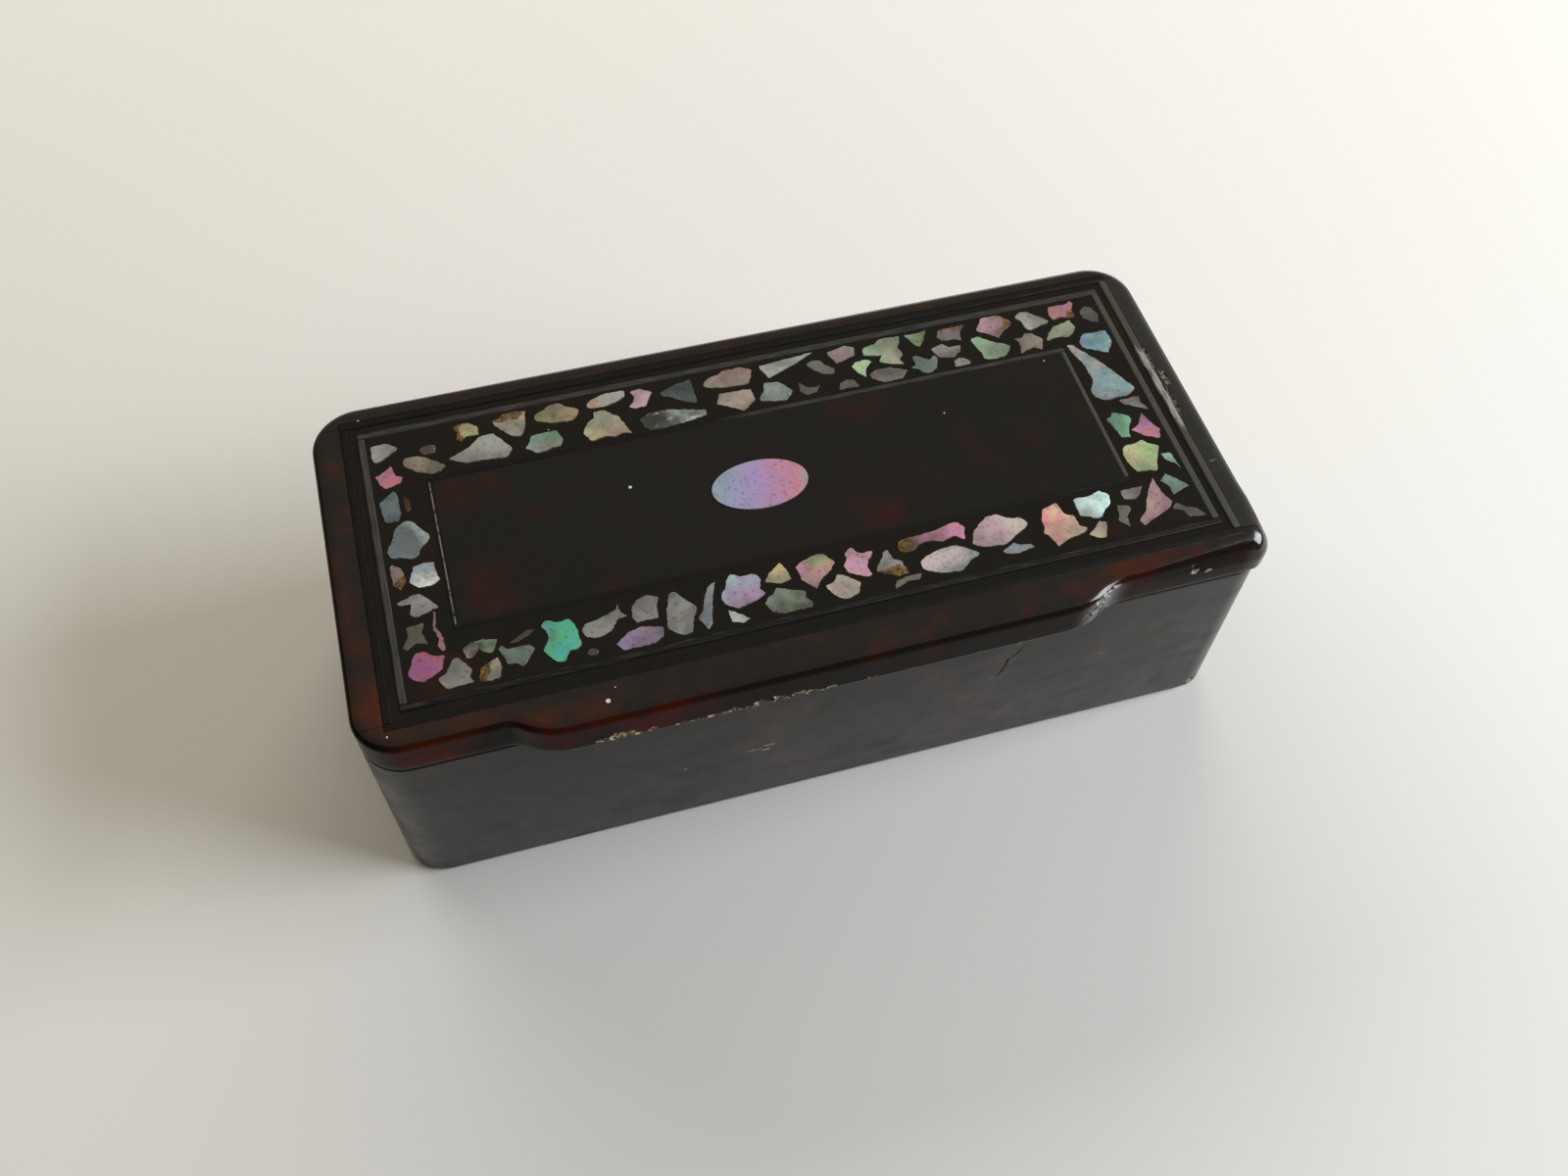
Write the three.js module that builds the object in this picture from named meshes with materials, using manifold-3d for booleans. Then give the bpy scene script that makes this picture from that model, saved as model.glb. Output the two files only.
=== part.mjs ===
// A small hinged snuff box of dark lacquered board. The lid carries a framed field of shell chips
// around a plain centre panel with an oval shell plaque, and a thumb lip along its front edge.
// Millimetres. X runs along the length, -Y is the front with the thumb lip, +Y the hinge, Z is up.
// The origin is the centre of the flat underside.
import * as THREE from 'three';
import { mergeVertices } from 'three/addons/utils/BufferGeometryUtils.js';
import Module from 'manifold-3d';

const wasm = await Module();
wasm.setup();

// Overall sizes
const HALF_LENGTH = 44.0;
const HALF_DEPTH = 19.75;
const CORNER_RADII = { frontLeft: 4.3, frontRight: 3.3, rearRight: 4.5, rearLeft: 4.75 };
const LID_FRONT_RIGHT_RADIUS = 2.0; // the lid juts a little over the body at this corner
const RIM_HEIGHT = 22.8;
const LID_TOP = 27.0;

// Body
const WALL = 3.0;
const FLOOR_THICKNESS = 2.6;
const FOOT_ROUNDING = 0.6;
const RIM_CHAMFER = 0.2;

// Thumb lip: the middle of the lid's front edge stands forward between two S curves
const LIP_FRONT = 21.7;
const LIP_LEFT = { start: -31.0, hollow: 2.2, full: 7.0 };
const LIP_RIGHT = { start: 21.9, hollow: 7.1, full: 7.1 };

// Layers of the lid, from the board up
const FRAME_BASE = 25.7;
const INLAY_BASE = 26.5;
const GROUND_TOP = 26.95;
const FILLET_TOP = 26.85;
const PLAQUE_TOP = 27.05;
const INNER_PANEL_THICKNESS = 1.6;
const INNER_PANEL_GAP = 0.4;
const INNER_PANEL_CORNER = 4.75;

// Inlaid field of the lid
const OUTER_STRING = { x: 41.1, y: 17.8, width: 0.8 };
const INNER_STRING = { x: 39.5, y: 16.1, width: 0.7 };
const PANEL_STRING = { left: -33.65, right: 33.0, y: 9.0, width: 0.5 };
const FRAME_SEAM_Y = 17.2;
const SEAM_GAP = 0.05;
const PLAQUE = { x: -2.4, y: -0.1, halfLength: 4.8, halfWidth: 2.9 };

// Hinge: knuckles of the board itself on one brass pin, standing a little proud of the rear face
const HINGE_Y = 18.91;
const HINGE_HALF_SPAN = 37.0;
const KNUCKLE_RADIUS = 1.4;
const KNUCKLE_CUT_RADIUS = 1.48;
const KNUCKLE_COUNT = 9;
const KNUCKLE_END_GAP = 0.1;
const PIN_RADIUS = 0.5;
const PIN_BORE_RADIUS = 0.55;
const LID_SWING_DEGREES = 108;
const KNUCKLE_SIDES = 24;
const PIN_SIDES = 12;

const ARC_STEPS = 4;

// ---------- materials ----------

function material(color, roughness, metalness = 0) {
  return new THREE.MeshStandardMaterial({ color, roughness, metalness });
}

const lacquer = () => material('#1e1917', 0.22);
const insideLacquer = () => material('#2a1512', 0.38);
const stringing = () => material('#4d4c46', 0.45);
const brass = () => material('#a8844a', 0.35, 1.0);

const SHELL_COLORS = {
  white: '#cfd0c8',
  cream: '#d8cfb6',
  green: '#a9d3b4',
  turquoise: '#7fc8b6',
  blue: '#a9bccb',
  pink: '#e0aebb',
  lilac: '#bda5c9',
};

const shell = (tint) => material(SHELL_COLORS[tint], 0.18);

// ---------- solids ----------

// Turns a triangle list over when its faces point inward.
function facingOutward(positions, triangles) {
  let volume = 0;
  const [a, b, c] = [new THREE.Vector3(), new THREE.Vector3(), new THREE.Vector3()];
  for (const [i, j, k] of triangles) {
    a.fromArray(positions, 3 * i);
    b.fromArray(positions, 3 * j);
    c.fromArray(positions, 3 * k);
    volume += a.dot(b.cross(c));
  }
  return volume < 0 ? triangles.map(([i, j, k]) => [i, k, j]) : triangles;
}

function geometryFrom(positions, triangles) {
  const geometry = new THREE.BufferGeometry();
  geometry.setAttribute('position', new THREE.Float32BufferAttribute(positions, 3));
  geometry.setIndex(facingOutward(positions, triangles).flat());
  return geometry;
}

// Joins rings of one closed contour with side faces, and closes the first and last ring.
function capped(contour, ringCount) {
  const size = contour.length;
  const triangles = [];
  for (let r = 0; r + 1 < ringCount; r += 1) {
    for (let i = 0; i < size; i += 1) {
      const next = (i + 1) % size;
      const low = r * size;
      const high = low + size;
      triangles.push([low + i, low + next, high + next], [low + i, high + next, high + i]);
    }
  }
  const last = (ringCount - 1) * size;
  for (const [i, j, k] of THREE.ShapeUtils.triangulateShape(contour, [])) {
    const corners = [contour[i], contour[j], contour[k]];
    const sameTurn = THREE.ShapeUtils.isClockWise(corners) === THREE.ShapeUtils.isClockWise(contour);
    const [a, b, c] = sameTurn ? [i, j, k] : [i, k, j];
    triangles.push([a, c, b], [last + a, last + b, last + c]);
  }
  return triangles;
}

// Solid that stacks copies of a closed outline; each layer is [inset, z].
function loft(outline, layers) {
  const positions = [];
  for (const [inset, z] of layers) {
    for (const p of outline) {
      positions.push(p.x - p.nx * inset, p.y - p.ny * inset, z);
    }
  }
  const contour = outline.map((p) => new THREE.Vector2(p.x, p.y));
  return geometryFrom(positions, capped(contour, layers.length));
}

// Solid that carries a closed section of [inset, z] points along an open path.
function sweep(path, section) {
  const positions = [];
  for (const p of path) {
    for (const [inset, z] of section) {
      positions.push(p.x - p.nx * inset, p.y - p.ny * inset, z);
    }
  }
  const contour = section.map(([inset, z]) => new THREE.Vector2(inset, z));
  return geometryFrom(positions, capped(contour, path.length));
}

function box(x0, x1, y0, y1, z0, z1) {
  const geometry = new THREE.BoxGeometry(x1 - x0, y1 - y0, z1 - z0);
  return geometry.translate((x0 + x1) / 2, (y0 + y1) / 2, (z0 + z1) / 2);
}

// Plate of a flat shape between two heights.
function plate(shape, z0, z1) {
  const geometry = new THREE.ExtrudeGeometry(shape, { depth: z1 - z0, bevelEnabled: false });
  return geometry.translate(0, 0, z0);
}

// Round bar along X on the hinge axis.
function hingeBar(x0, x1, radius, sides) {
  const geometry = new THREE.CylinderGeometry(radius, radius, x1 - x0, sides);
  return geometry.rotateZ(Math.PI / 2).translate((x0 + x1) / 2, HINGE_Y, RIM_HEIGHT);
}

function manifoldOf(geometry) {
  const bare = geometry.clone();
  bare.deleteAttribute('normal');
  bare.deleteAttribute('uv');
  const merged = mergeVertices(bare, 1e-5);
  return new wasm.Manifold(new wasm.Mesh({
    numProp: 3,
    vertProperties: new Float32Array(merged.attributes.position.array),
    triVerts: new Uint32Array(merged.index.array),
  }));
}

function geometryOf(solid) {
  const mesh = solid.getMesh();
  const geometry = new THREE.BufferGeometry();
  geometry.setAttribute('position', new THREE.BufferAttribute(mesh.vertProperties, 3));
  geometry.setIndex(new THREE.BufferAttribute(mesh.triVerts, 1));
  return geometry;
}

// ---------- outlines: points with their outward normal ----------

// Arc around a centre; `hollow` marks an arc whose centre lies outside the solid.
function arc(cx, cy, radius, fromDegrees, toDegrees, hollow = false) {
  const points = [];
  for (let i = 0; i <= ARC_STEPS; i += 1) {
    const angle = THREE.MathUtils.degToRad(
      THREE.MathUtils.lerp(fromDegrees, toDegrees, i / ARC_STEPS));
    const sign = hollow ? -1 : 1;
    points.push({
      x: cx + radius * Math.cos(angle),
      y: cy + radius * Math.sin(angle),
      nx: sign * Math.cos(angle),
      ny: sign * Math.sin(angle),
    });
  }
  return points;
}

const CORNERS = [
  { x: -1, y: -1, start: 180, radius: CORNER_RADII.frontLeft },
  { x: 1, y: -1, start: 270, radius: CORNER_RADII.frontRight },
  { x: 1, y: 1, start: 0, radius: CORNER_RADII.rearRight },
  { x: -1, y: 1, start: 90, radius: CORNER_RADII.rearLeft },
];

// `least` is the smallest radius allowed, for an outline that is set far in from the edge.
function cornerArc(corner, from, to, least = 0) {
  const radius = Math.max(corner.radius, least);
  const cx = corner.x * (HALF_LENGTH - radius);
  const cy = corner.y * (HALF_DEPTH - radius);
  return arc(cx, cy, radius, corner.start + from, corner.start + to);
}

// One wall runs from the middle of a corner to the middle of the next.
function wallPath(index) {
  const here = CORNERS[index];
  const next = CORNERS[(index + 1) % CORNERS.length];
  return [...cornerArc(here, 45, 90), ...cornerArc(next, 0, 45)];
}

// An S curve of the lip is a hollow arc and a full one: their shared turn, and its run along X.
function lipCurve({ hollow, full }) {
  const angle = Math.acos(1 - (LIP_FRONT - HALF_DEPTH) / (hollow + full));
  return { turn: THREE.MathUtils.radToDeg(angle), run: (hollow + full) * Math.sin(angle) };
}

// The lid's outline: the body's, with the thumb lip along the front and one sharper corner.
function lidOutline() {
  const [frontLeft, frontRight, ...rear] = CORNERS;
  const left = { ...LIP_LEFT, ...lipCurve(LIP_LEFT) };
  const right = { ...LIP_RIGHT, ...lipCurve(LIP_RIGHT) };
  const hollowY = (curve) => -HALF_DEPTH - curve.hollow;
  const fullY = (curve) => -LIP_FRONT + curve.full;
  return [
    ...cornerArc(frontLeft, 0, 90),
    ...arc(left.start, hollowY(left), left.hollow, 90, 90 - left.turn, true),
    ...arc(left.start + left.run, fullY(left), left.full, 270 - left.turn, 270).slice(1),
    ...arc(right.start, fullY(right), right.full, 270, 270 + right.turn),
    ...arc(right.start + right.run, hollowY(right), right.hollow, 90 + right.turn, 90, true)
      .slice(1),
    ...cornerArc({ ...frontRight, radius: LID_FRONT_RIGHT_RADIUS }, 0, 90),
    ...rear.flatMap((corner) => cornerArc(corner, 0, 90)),
  ];
}

// ---------- hinge ----------

function knuckleSpan(index) {
  const width = (2 * HINGE_HALF_SPAN) / KNUCKLE_COUNT;
  const start = -HINGE_HALF_SPAN + index * width;
  return [start, start + width];
}

// Cuts the room for the other side's knuckles and adds this side's own, bored for the pin.
// The body has the even knuckles, both end ones among them, and the lid has the odd ones.
function withKnuckles(solid, ownParity) {
  let result = solid;
  for (let i = 0; i < KNUCKLE_COUNT; i += 1) {
    if (i % 2 !== ownParity) {
      const [x0, x1] = knuckleSpan(i);
      result = result.subtract(manifoldOf(
        hingeBar(x0 - KNUCKLE_END_GAP, x1 + KNUCKLE_END_GAP, KNUCKLE_CUT_RADIUS, KNUCKLE_SIDES)));
    }
  }
  for (let i = ownParity; i < KNUCKLE_COUNT; i += 2) {
    const [x0, x1] = knuckleSpan(i);
    result = result.add(manifoldOf(hingeBar(x0, x1, KNUCKLE_RADIUS, KNUCKLE_SIDES)));
  }
  const bore = hingeBar(-HINGE_HALF_SPAN, HINGE_HALF_SPAN, PIN_BORE_RADIUS, PIN_SIDES);
  return result.subtract(manifoldOf(bore));
}

// Room under the lid's rear corners, beyond the knuckles, so that they swing clear of the wall.
function cornerRelief(x0, x1) {
  const behind = HALF_DEPTH - HINGE_Y;
  const turn = THREE.MathUtils.degToRad(LID_SWING_DEGREES);
  const back = behind + 1;
  const heightAt = (y) => (behind - y * Math.cos(turn)) / Math.sin(turn);
  const shape = new THREE.Shape([
    new THREE.Vector2(0, -1),
    new THREE.Vector2(0, 0),
    new THREE.Vector2(behind * Math.cos(turn), behind * Math.sin(turn)),
    new THREE.Vector2(back, heightAt(back)),
    new THREE.Vector2(back, -1),
  ]);
  const geometry = new THREE.ExtrudeGeometry(shape, { depth: x1 - x0, bevelEnabled: false });
  geometry.rotateY(Math.PI / 2).rotateX(Math.PI / 2);
  return geometry.translate(x0, HINGE_Y, RIM_HEIGHT);
}

function hingePin() {
  return hingeBar(-HINGE_HALF_SPAN, HINGE_HALF_SPAN, PIN_RADIUS, PIN_SIDES);
}

// ---------- body ----------

// Cross-section of a wall as [inset, height]: rounded foot and eased rim.
function wallSection() {
  const section = [];
  for (let i = 0; i <= ARC_STEPS; i += 1) {
    const angle = (i / ARC_STEPS) * (Math.PI / 2);
    section.push([
      FOOT_ROUNDING * (1 - Math.sin(angle)),
      FOOT_ROUNDING * (1 - Math.cos(angle)),
    ]);
  }
  section.push(
    [0, RIM_HEIGHT - RIM_CHAMFER],
    [RIM_CHAMFER, RIM_HEIGHT],
    [WALL, RIM_HEIGHT],
    [WALL, 0],
  );
  return section;
}

function wall(index) {
  return sweep(wallPath(index), wallSection());
}

function rearWall() {
  return geometryOf(withKnuckles(manifoldOf(wall(2)), 0));
}

function floorBoard() {
  const inner = CORNERS.flatMap((corner) => cornerArc(corner, 0, 90));
  return loft(inner, [[WALL, 0], [WALL, FLOOR_THICKNESS]]);
}

// ---------- lid ----------

function lidBoard() {
  const blank = loft(lidOutline(), [
    [0.35, RIM_HEIGHT],
    [0, RIM_HEIGHT + 0.35],
    [0, FRAME_BASE],
  ]);
  const { x, y } = OUTER_STRING;
  const plateau = box(-x, x, -y, y, FRAME_BASE - 1, INLAY_BASE);
  let board = manifoldOf(blank).add(manifoldOf(plateau));
  for (const side of [-1, 1]) {
    const ends = [side * HINGE_HALF_SPAN, side * (HALF_LENGTH + 1)].sort((a, b) => a - b);
    board = board.subtract(manifoldOf(cornerRelief(...ends)));
  }
  return geometryOf(withKnuckles(board, 1));
}

function innerPanel() {
  const outline = CORNERS.flatMap((corner) => cornerArc(corner, 0, 90, INNER_PANEL_CORNER));
  const inset = WALL + INNER_PANEL_GAP;
  return loft(outline, [
    [inset + 0.3, RIM_HEIGHT - INNER_PANEL_THICKNESS],
    [inset, RIM_HEIGHT - INNER_PANEL_THICKNESS + 0.3],
    [inset, RIM_HEIGHT],
  ]);
}

// The frame is one ring with a softly rounded outer edge, cut into four strips with butt seams.
function frameStrip(side) {
  const ring = manifoldOf(loft(lidOutline(), [
    [0, FRAME_BASE],
    [0, LID_TOP - 0.75],
    [0.12, LID_TOP - 0.42],
    [0.4, LID_TOP - 0.18],
    [0.9, LID_TOP - 0.05],
    [1.7, LID_TOP],
  ])).subtract(manifoldOf(box(
    -OUTER_STRING.x, OUTER_STRING.x, -OUTER_STRING.y, OUTER_STRING.y, FRAME_BASE - 1, LID_TOP + 1)));
  const far = HALF_LENGTH + 5;
  const seam = FRAME_SEAM_Y;
  const spans = {
    front: [-far, far, -far, -seam],
    rear: [-far, far, seam, far],
    left: [-far, 0, -seam + SEAM_GAP, seam - SEAM_GAP],
    right: [0, far, -seam + SEAM_GAP, seam - SEAM_GAP],
  };
  const cutter = box(...spans[side], FRAME_BASE - 1, LID_TOP + 1);
  return geometryOf(ring.intersect(manifoldOf(cutter)));
}

// Four strips of stringing around a rectangle; the two long ones run past the ends of the others.
function stringStrips({ left, right, y, width }) {
  const strip = (x0, x1, y0, y1) => box(x0, x1, y0, y1, INLAY_BASE, LID_TOP);
  const inside = y - width - SEAM_GAP;
  return {
    front: strip(left, right, -y, -y + width),
    rear: strip(left, right, y - width, y),
    left: strip(left, left + width, -inside, inside),
    right: strip(right - width, right, -inside, inside),
  };
}

function rectangle(Type, x0, x1, y0, y1) {
  return new Type([
    new THREE.Vector2(x0, y0),
    new THREE.Vector2(x1, y0),
    new THREE.Vector2(x1, y1),
    new THREE.Vector2(x0, y1),
  ]);
}

// Dark fillet between the two rectangles of stringing.
function darkFillet() {
  const x = OUTER_STRING.x - OUTER_STRING.width;
  const y = OUTER_STRING.y - OUTER_STRING.width;
  const shape = rectangle(THREE.Shape, -x, x, -y, y);
  const inside = rectangle(THREE.Path,
    -INNER_STRING.x, INNER_STRING.x, -INNER_STRING.y, INNER_STRING.y);
  shape.holes.push(inside);
  return plate(shape, INLAY_BASE, FILLET_TOP);
}

function plaqueOutline(grow) {
  const path = new THREE.Path();
  path.absellipse(PLAQUE.x, PLAQUE.y, PLAQUE.halfLength + grow, PLAQUE.halfWidth + grow,
    0, 2 * Math.PI, false, 0);
  return path.getPoints(32).slice(0, -1);
}

function centrePanel() {
  const { left, right, y, width } = PANEL_STRING;
  const shape = rectangle(THREE.Shape, left + width, right - width, -y + width, y - width);
  shape.holes.push(new THREE.Path(plaqueOutline(SEAM_GAP)));
  return plate(shape, INLAY_BASE, GROUND_TOP);
}

function ovalPlaque() {
  return plate(new THREE.Shape(plaqueOutline(0)), INLAY_BASE, PLAQUE_TOP);
}

// ---------- shell chips ----------

// Broken flakes of shell, each with its own outline. `round` is the rounding of its corners.
const CHIPS = [
  { at: 'rear_01', tint: 'white', round: 0.3, outline: [[-38.4, 14.2], [-36.9, 14.3], [-35.7, 13.4],
    [-36.9, 12.5], [-37.9, 12], [-38.4, 12.2]] },
  { at: 'rear_02', tint: 'white', round: 0.25, outline: [[-31.3, 10.7], [-29.1, 11.7], [-27.8, 12.8],
    [-26.4, 12.9], [-25.8, 12], [-24.8, 10.5], [-25.6, 9.5], [-28.2, 9.8], [-29.6, 9.8]] },
  { at: 'rear_03', tint: 'cream', round: 0.3, outline: [[-26.3, 14.4], [-25.4, 14.7], [-25.1, 15.1],
    [-22.8, 15], [-23.2, 12.6], [-23.9, 11.7], [-24.7, 12], [-26.2, 13.8]] },
  { at: 'rear_04', tint: 'cream', round: 0.4, outline: [[-22.2, 13.8], [-21.8, 14.3], [-21, 14.5],
    [-20.4, 15.1], [-19.2, 15], [-18.7, 14.3], [-17.8, 14], [-17.5, 13.4], [-18.4, 12.4],
    [-19.4, 12.5], [-20.6, 12.6], [-21.3, 13], [-22, 13.1]] },
  { at: 'rear_05', tint: 'turquoise', round: 0.2, outline: [[-22.8, 11.6], [-20.2, 11.6],
    [-19.8, 10.3], [-20.2, 9.6], [-21.5, 9.4], [-22.3, 9.2], [-22.9, 9.3], [-23.1, 9.7],
    [-23.7, 10.1], [-23.1, 10.8]] },
  { at: 'rear_06', tint: 'white', round: 0.4, outline: [[-16.9, 13.9], [-16.2, 14.7], [-14.5, 15.1],
    [-12.5, 15], [-12.8, 14.1], [-14.2, 13.5], [-15.6, 13.4], [-16.5, 13.5]] },
  { at: 'rear_07', tint: 'cream', round: 0.2, outline: [[-16.3, 13], [-15, 13], [-14.6, 12.4],
    [-13.9, 11.8], [-13, 9.3], [-14.1, 9.6], [-14.8, 9.25], [-15.7, 9.6], [-17.2, 9.3],
    [-17.8, 10.6], [-17.1, 11.8], [-16.5, 12.1]] },
  { at: 'rear_08', tint: 'pink', round: 0.35, outline: [[-4.8, 13.7], [-4, 14.4], [-2.9, 14.6],
    [-2.4, 15], [-1.3, 14.9], [-0.6, 15.1], [0.7, 14.4], [0.4, 13.6], [-0.1, 12.6], [-2.6, 12.7],
    [-4.5, 13.1]] },
  { at: 'rear_09', tint: 'white', round: 0.15, outline: [[-3.4, 12.1], [-0.1, 11.9], [0, 10.4],
    [-0.9, 9.7], [-1.6, 9.25], [-2.2, 9.7], [-4, 10.8]] },
  { at: 'rear_10', tint: 'white', round: 0.1, outline: [[1.4, 14.6], [5, 14.9], [7.4, 15.1],
    [5.2, 14], [2, 12.8]] },
  { at: 'rear_11', tint: 'blue', round: 0.35, outline: [[1.2, 12.3], [3, 12.1], [3.6, 11.2],
    [4, 10.5], [3, 9.4], [0.4, 10], [0.6, 10.8], [1.1, 11.3]] },
  { at: 'rear_12', tint: 'green', round: 0.2, outline: [[12.4, 14], [12.8, 14.4], [13.9, 14.5],
    [14.4, 14.9], [15.2, 15.1], [16.9, 14.9], [16.2, 13.4], [16.5, 12.4], [15.9, 11.8],
    [16.2, 11], [14.8, 11.4], [13.6, 12], [14.2, 12.7], [12.4, 13.2]] },
  { at: 'rear_13', tint: 'pink', round: 0.2, outline: [[24.9, 13.6], [26, 15.1], [28, 15.1],
    [29, 13.9], [28.7, 13.3], [27.8, 12.9], [26.9, 11.9], [26, 12.8], [25.1, 13.3]] },
  { at: 'rear_14', tint: 'green', round: 0.25, outline: [[23.9, 12.6], [24.7, 12.8], [25.3, 12.4],
    [26.2, 11.6], [27.1, 11.2], [27.8, 10.6], [26.9, 9.5], [25.4, 9.3], [24.3, 9.6], [24.5, 10.2],
    [24.1, 11.4]] },
  { at: 'rear_15', tint: 'white', round: 0.2, outline: [[29.5, 14.3], [30.2, 14.9], [31, 14.8],
    [32.9, 13.1], [32.8, 12.6], [32, 12.6], [30.5, 12.1], [30.1, 12.6], [30.1, 13.5]] },
  { at: 'rear_16', tint: 'pink', round: 0.15, outline: [[33.2, 13.8], [33.5, 14.8], [35.8, 14.8],
    [36.1, 15.1], [36.4, 14.6], [35.9, 13.9], [35.9, 12.8], [35.2, 12.8], [34.3, 13.1],
    [33.4, 12.9]] },
  { at: 'right_01', tint: 'blue', round: 0.3, outline: [[34.9, 9.3], [35.7, 10.3], [37.1, 10.1],
    [38.3, 10.3], [38.4, 8.5], [37.8, 7.7], [37.4, 7.1], [36.4, 7.6], [35, 8.4]] },
  { at: 'right_02', tint: 'blue', round: 0.3, outline: [[33.4, 9.2], [34, 9.2], [36.1, 6.1],
    [38.2, 1.9], [37.2, 1.2], [34.4, 1.1], [33.5, 2], [33.6, 2.9], [34.3, 3.9], [34.2, 6.2],
    [33.6, 8.1]] },
  { at: 'right_03', tint: 'cream', round: 0.3, outline: [[33.5, -5.6], [34, -4.8], [35.2, -4.9],
    [36.1, -4.5], [36.4, -5.1], [37.5, -5.7], [36.5, -7.4], [36, -8.7], [34.8, -8.3],
    [33.9, -8.3], [33.4, -6.4]] },
  { at: 'front_01', tint: 'pink', round: 0.2, outline: [[35.2, -9.3], [35.3, -11.2], [35.9, -12.5],
    [35.2, -13.2], [32, -14.5], [31.8, -13.8], [32.9, -12.9], [33.4, -11.7], [34.6, -9.9]] },
  { at: 'front_02', tint: 'white', round: 0.2, outline: [[26.5, -9.7], [28.2, -9.8], [29.4, -9.4],
    [30.2, -10.2], [30, -11.1], [29.1, -11.8], [28.5, -12.5], [27.7, -12.5], [27.2, -12.1],
    [26.4, -11.9]] },
  { at: 'front_03', tint: 'pink', round: 0.2, outline: [[23.1, -10.2], [24.8, -9.7], [25.1, -11.2],
    [25.9, -11.6], [26, -12.8], [26.7, -13.3], [26, -13.8], [24.2, -14.1], [23.1, -14.7],
    [22.6, -13.1], [22.1, -12.9], [22.6, -12.4], [22.6, -11.3]] },
  { at: 'front_04', tint: 'pink', round: 0.25, outline: [[15.2, -12.3], [15.8, -10.8], [17.4, -9.6],
    [18.6, -9.4], [19.3, -10.1], [20.8, -10.5], [21.3, -11.4], [20.3, -12], [18.3, -13.1],
    [16.3, -12.9]] },
  { at: 'front_05', tint: 'pink', round: 0.25, outline: [[8.1, -10.9], [8.6, -10], [11.9, -9.8],
    [14.5, -9.3], [15.2, -10], [14.7, -11.6], [13.9, -10.9], [12.6, -11.2], [11.3, -10.8],
    [10.2, -11], [9.3, -11.6], [8.5, -11.5]] },
  { at: 'front_06', tint: 'green', round: 0.3, outline: [[9.6, -13.3], [10, -12.6], [12.1, -11.9],
    [13.7, -11.9], [15.7, -13.4], [14.4, -14], [13.3, -14.9], [11.2, -14.6], [10, -14]] },
  { at: 'front_07', tint: 'pink', round: 0.2, outline: [[3.9, -9.5], [4.4, -10.4], [5.9, -10.5],
    [4.8, -11.9], [5, -13.1], [4.3, -13.2], [2.8, -12.3], [2.6, -11.4], [3.1, -10.9],
    [3.1, -10.1]] },
  { at: 'front_08', tint: 'lilac', round: 0.35, outline: [[-8.6, -10.3], [-8, -9.5], [-6.9, -10.1],
    [-5.8, -10], [-5.2, -10.7], [-5.7, -11.9], [-5.1, -12.5], [-6.2, -13], [-8.2, -13.5],
    [-9.3, -12.7], [-9.4, -11.6], [-8.7, -11]] },
  { at: 'front_09', tint: 'white', round: 0.25, outline: [[-14, -10.1], [-13.3, -10.1],
    [-12.6, -11.3], [-11.7, -12.3], [-12.4, -13.6], [-12.7, -14.8], [-13.7, -15], [-14.9, -14],
    [-14.7, -12.4]] },
  { at: 'front_10', tint: 'turquoise', round: 0.25, outline: [[-26.1, -10.6], [-25.7, -10.1],
    [-25.1, -10.1], [-24.5, -10.6], [-23.4, -10.4], [-22.9, -11.3], [-22.7, -13.4],
    [-23.2, -13.9], [-24, -13.8], [-24.4, -14.8], [-25.3, -14.8], [-26.3, -13.3], [-25.6, -12.2],
    [-25.6, -11.3]] },
  { at: 'front_11', tint: 'lilac', round: 0.25, outline: [[-38.4, -12.5], [-38, -11.9],
    [-37.8, -11], [-37.2, -10.4], [-36.6, -10.5], [-35.9, -11.2], [-34.8, -11.3], [-35.3, -12.8],
    [-37.1, -13.7], [-38, -13.2]] },
  { at: 'left_01', tint: 'blue', round: 0.45, outline: [[-36.1, 4.4], [-35.3, 3.9], [-34.9, 2.9],
    [-34.2, 2.3], [-34.4, 1.5], [-35.3, 0.9], [-35.5, 0.1], [-36.3, -0.3], [-37.1, 0.2],
    [-38.2, 0.2], [-38.4, 1.3], [-37.8, 2.3], [-37.6, 3.2], [-36.9, 4.1]] },
];

// Replaces each corner of an outline by a short curve.
function roundedOutline(points, radius) {
  const corners = points.map(([x, y]) => new THREE.Vector2(x, y));
  const result = [];
  corners.forEach((corner, i) => {
    const before = corners[(i + corners.length - 1) % corners.length];
    const after = corners[(i + 1) % corners.length];
    const reach = (other) => Math.min(radius, corner.distanceTo(other) * 0.4);
    const start = corner.clone().lerp(before, reach(before) / corner.distanceTo(before));
    const end = corner.clone().lerp(after, reach(after) / corner.distanceTo(after));
    const middle = start.clone().add(end).multiplyScalar(0.25).addScaledVector(corner, 0.5);
    result.push(start, middle, end);
  });
  return result;
}

// Moves every edge of an outline out by the same distance.
function grown(points, distance) {
  const turn = THREE.ShapeUtils.isClockWise(points) ? 1 : -1;
  return points.map((point, i) => {
    const before = points[(i + points.length - 1) % points.length];
    const after = points[(i + 1) % points.length];
    const into = point.clone().sub(before).normalize();
    const out = after.clone().sub(point).normalize();
    const normal = new THREE.Vector2(-into.y - out.y, into.x + out.x).normalize();
    return point.clone().addScaledVector(normal, turn * distance);
  });
}

function chipOutline(chip) {
  return roundedOutline(chip.outline, chip.round);
}

function shellChip(chip) {
  return plate(new THREE.Shape(chipOutline(chip)), INLAY_BASE, LID_TOP);
}

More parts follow.
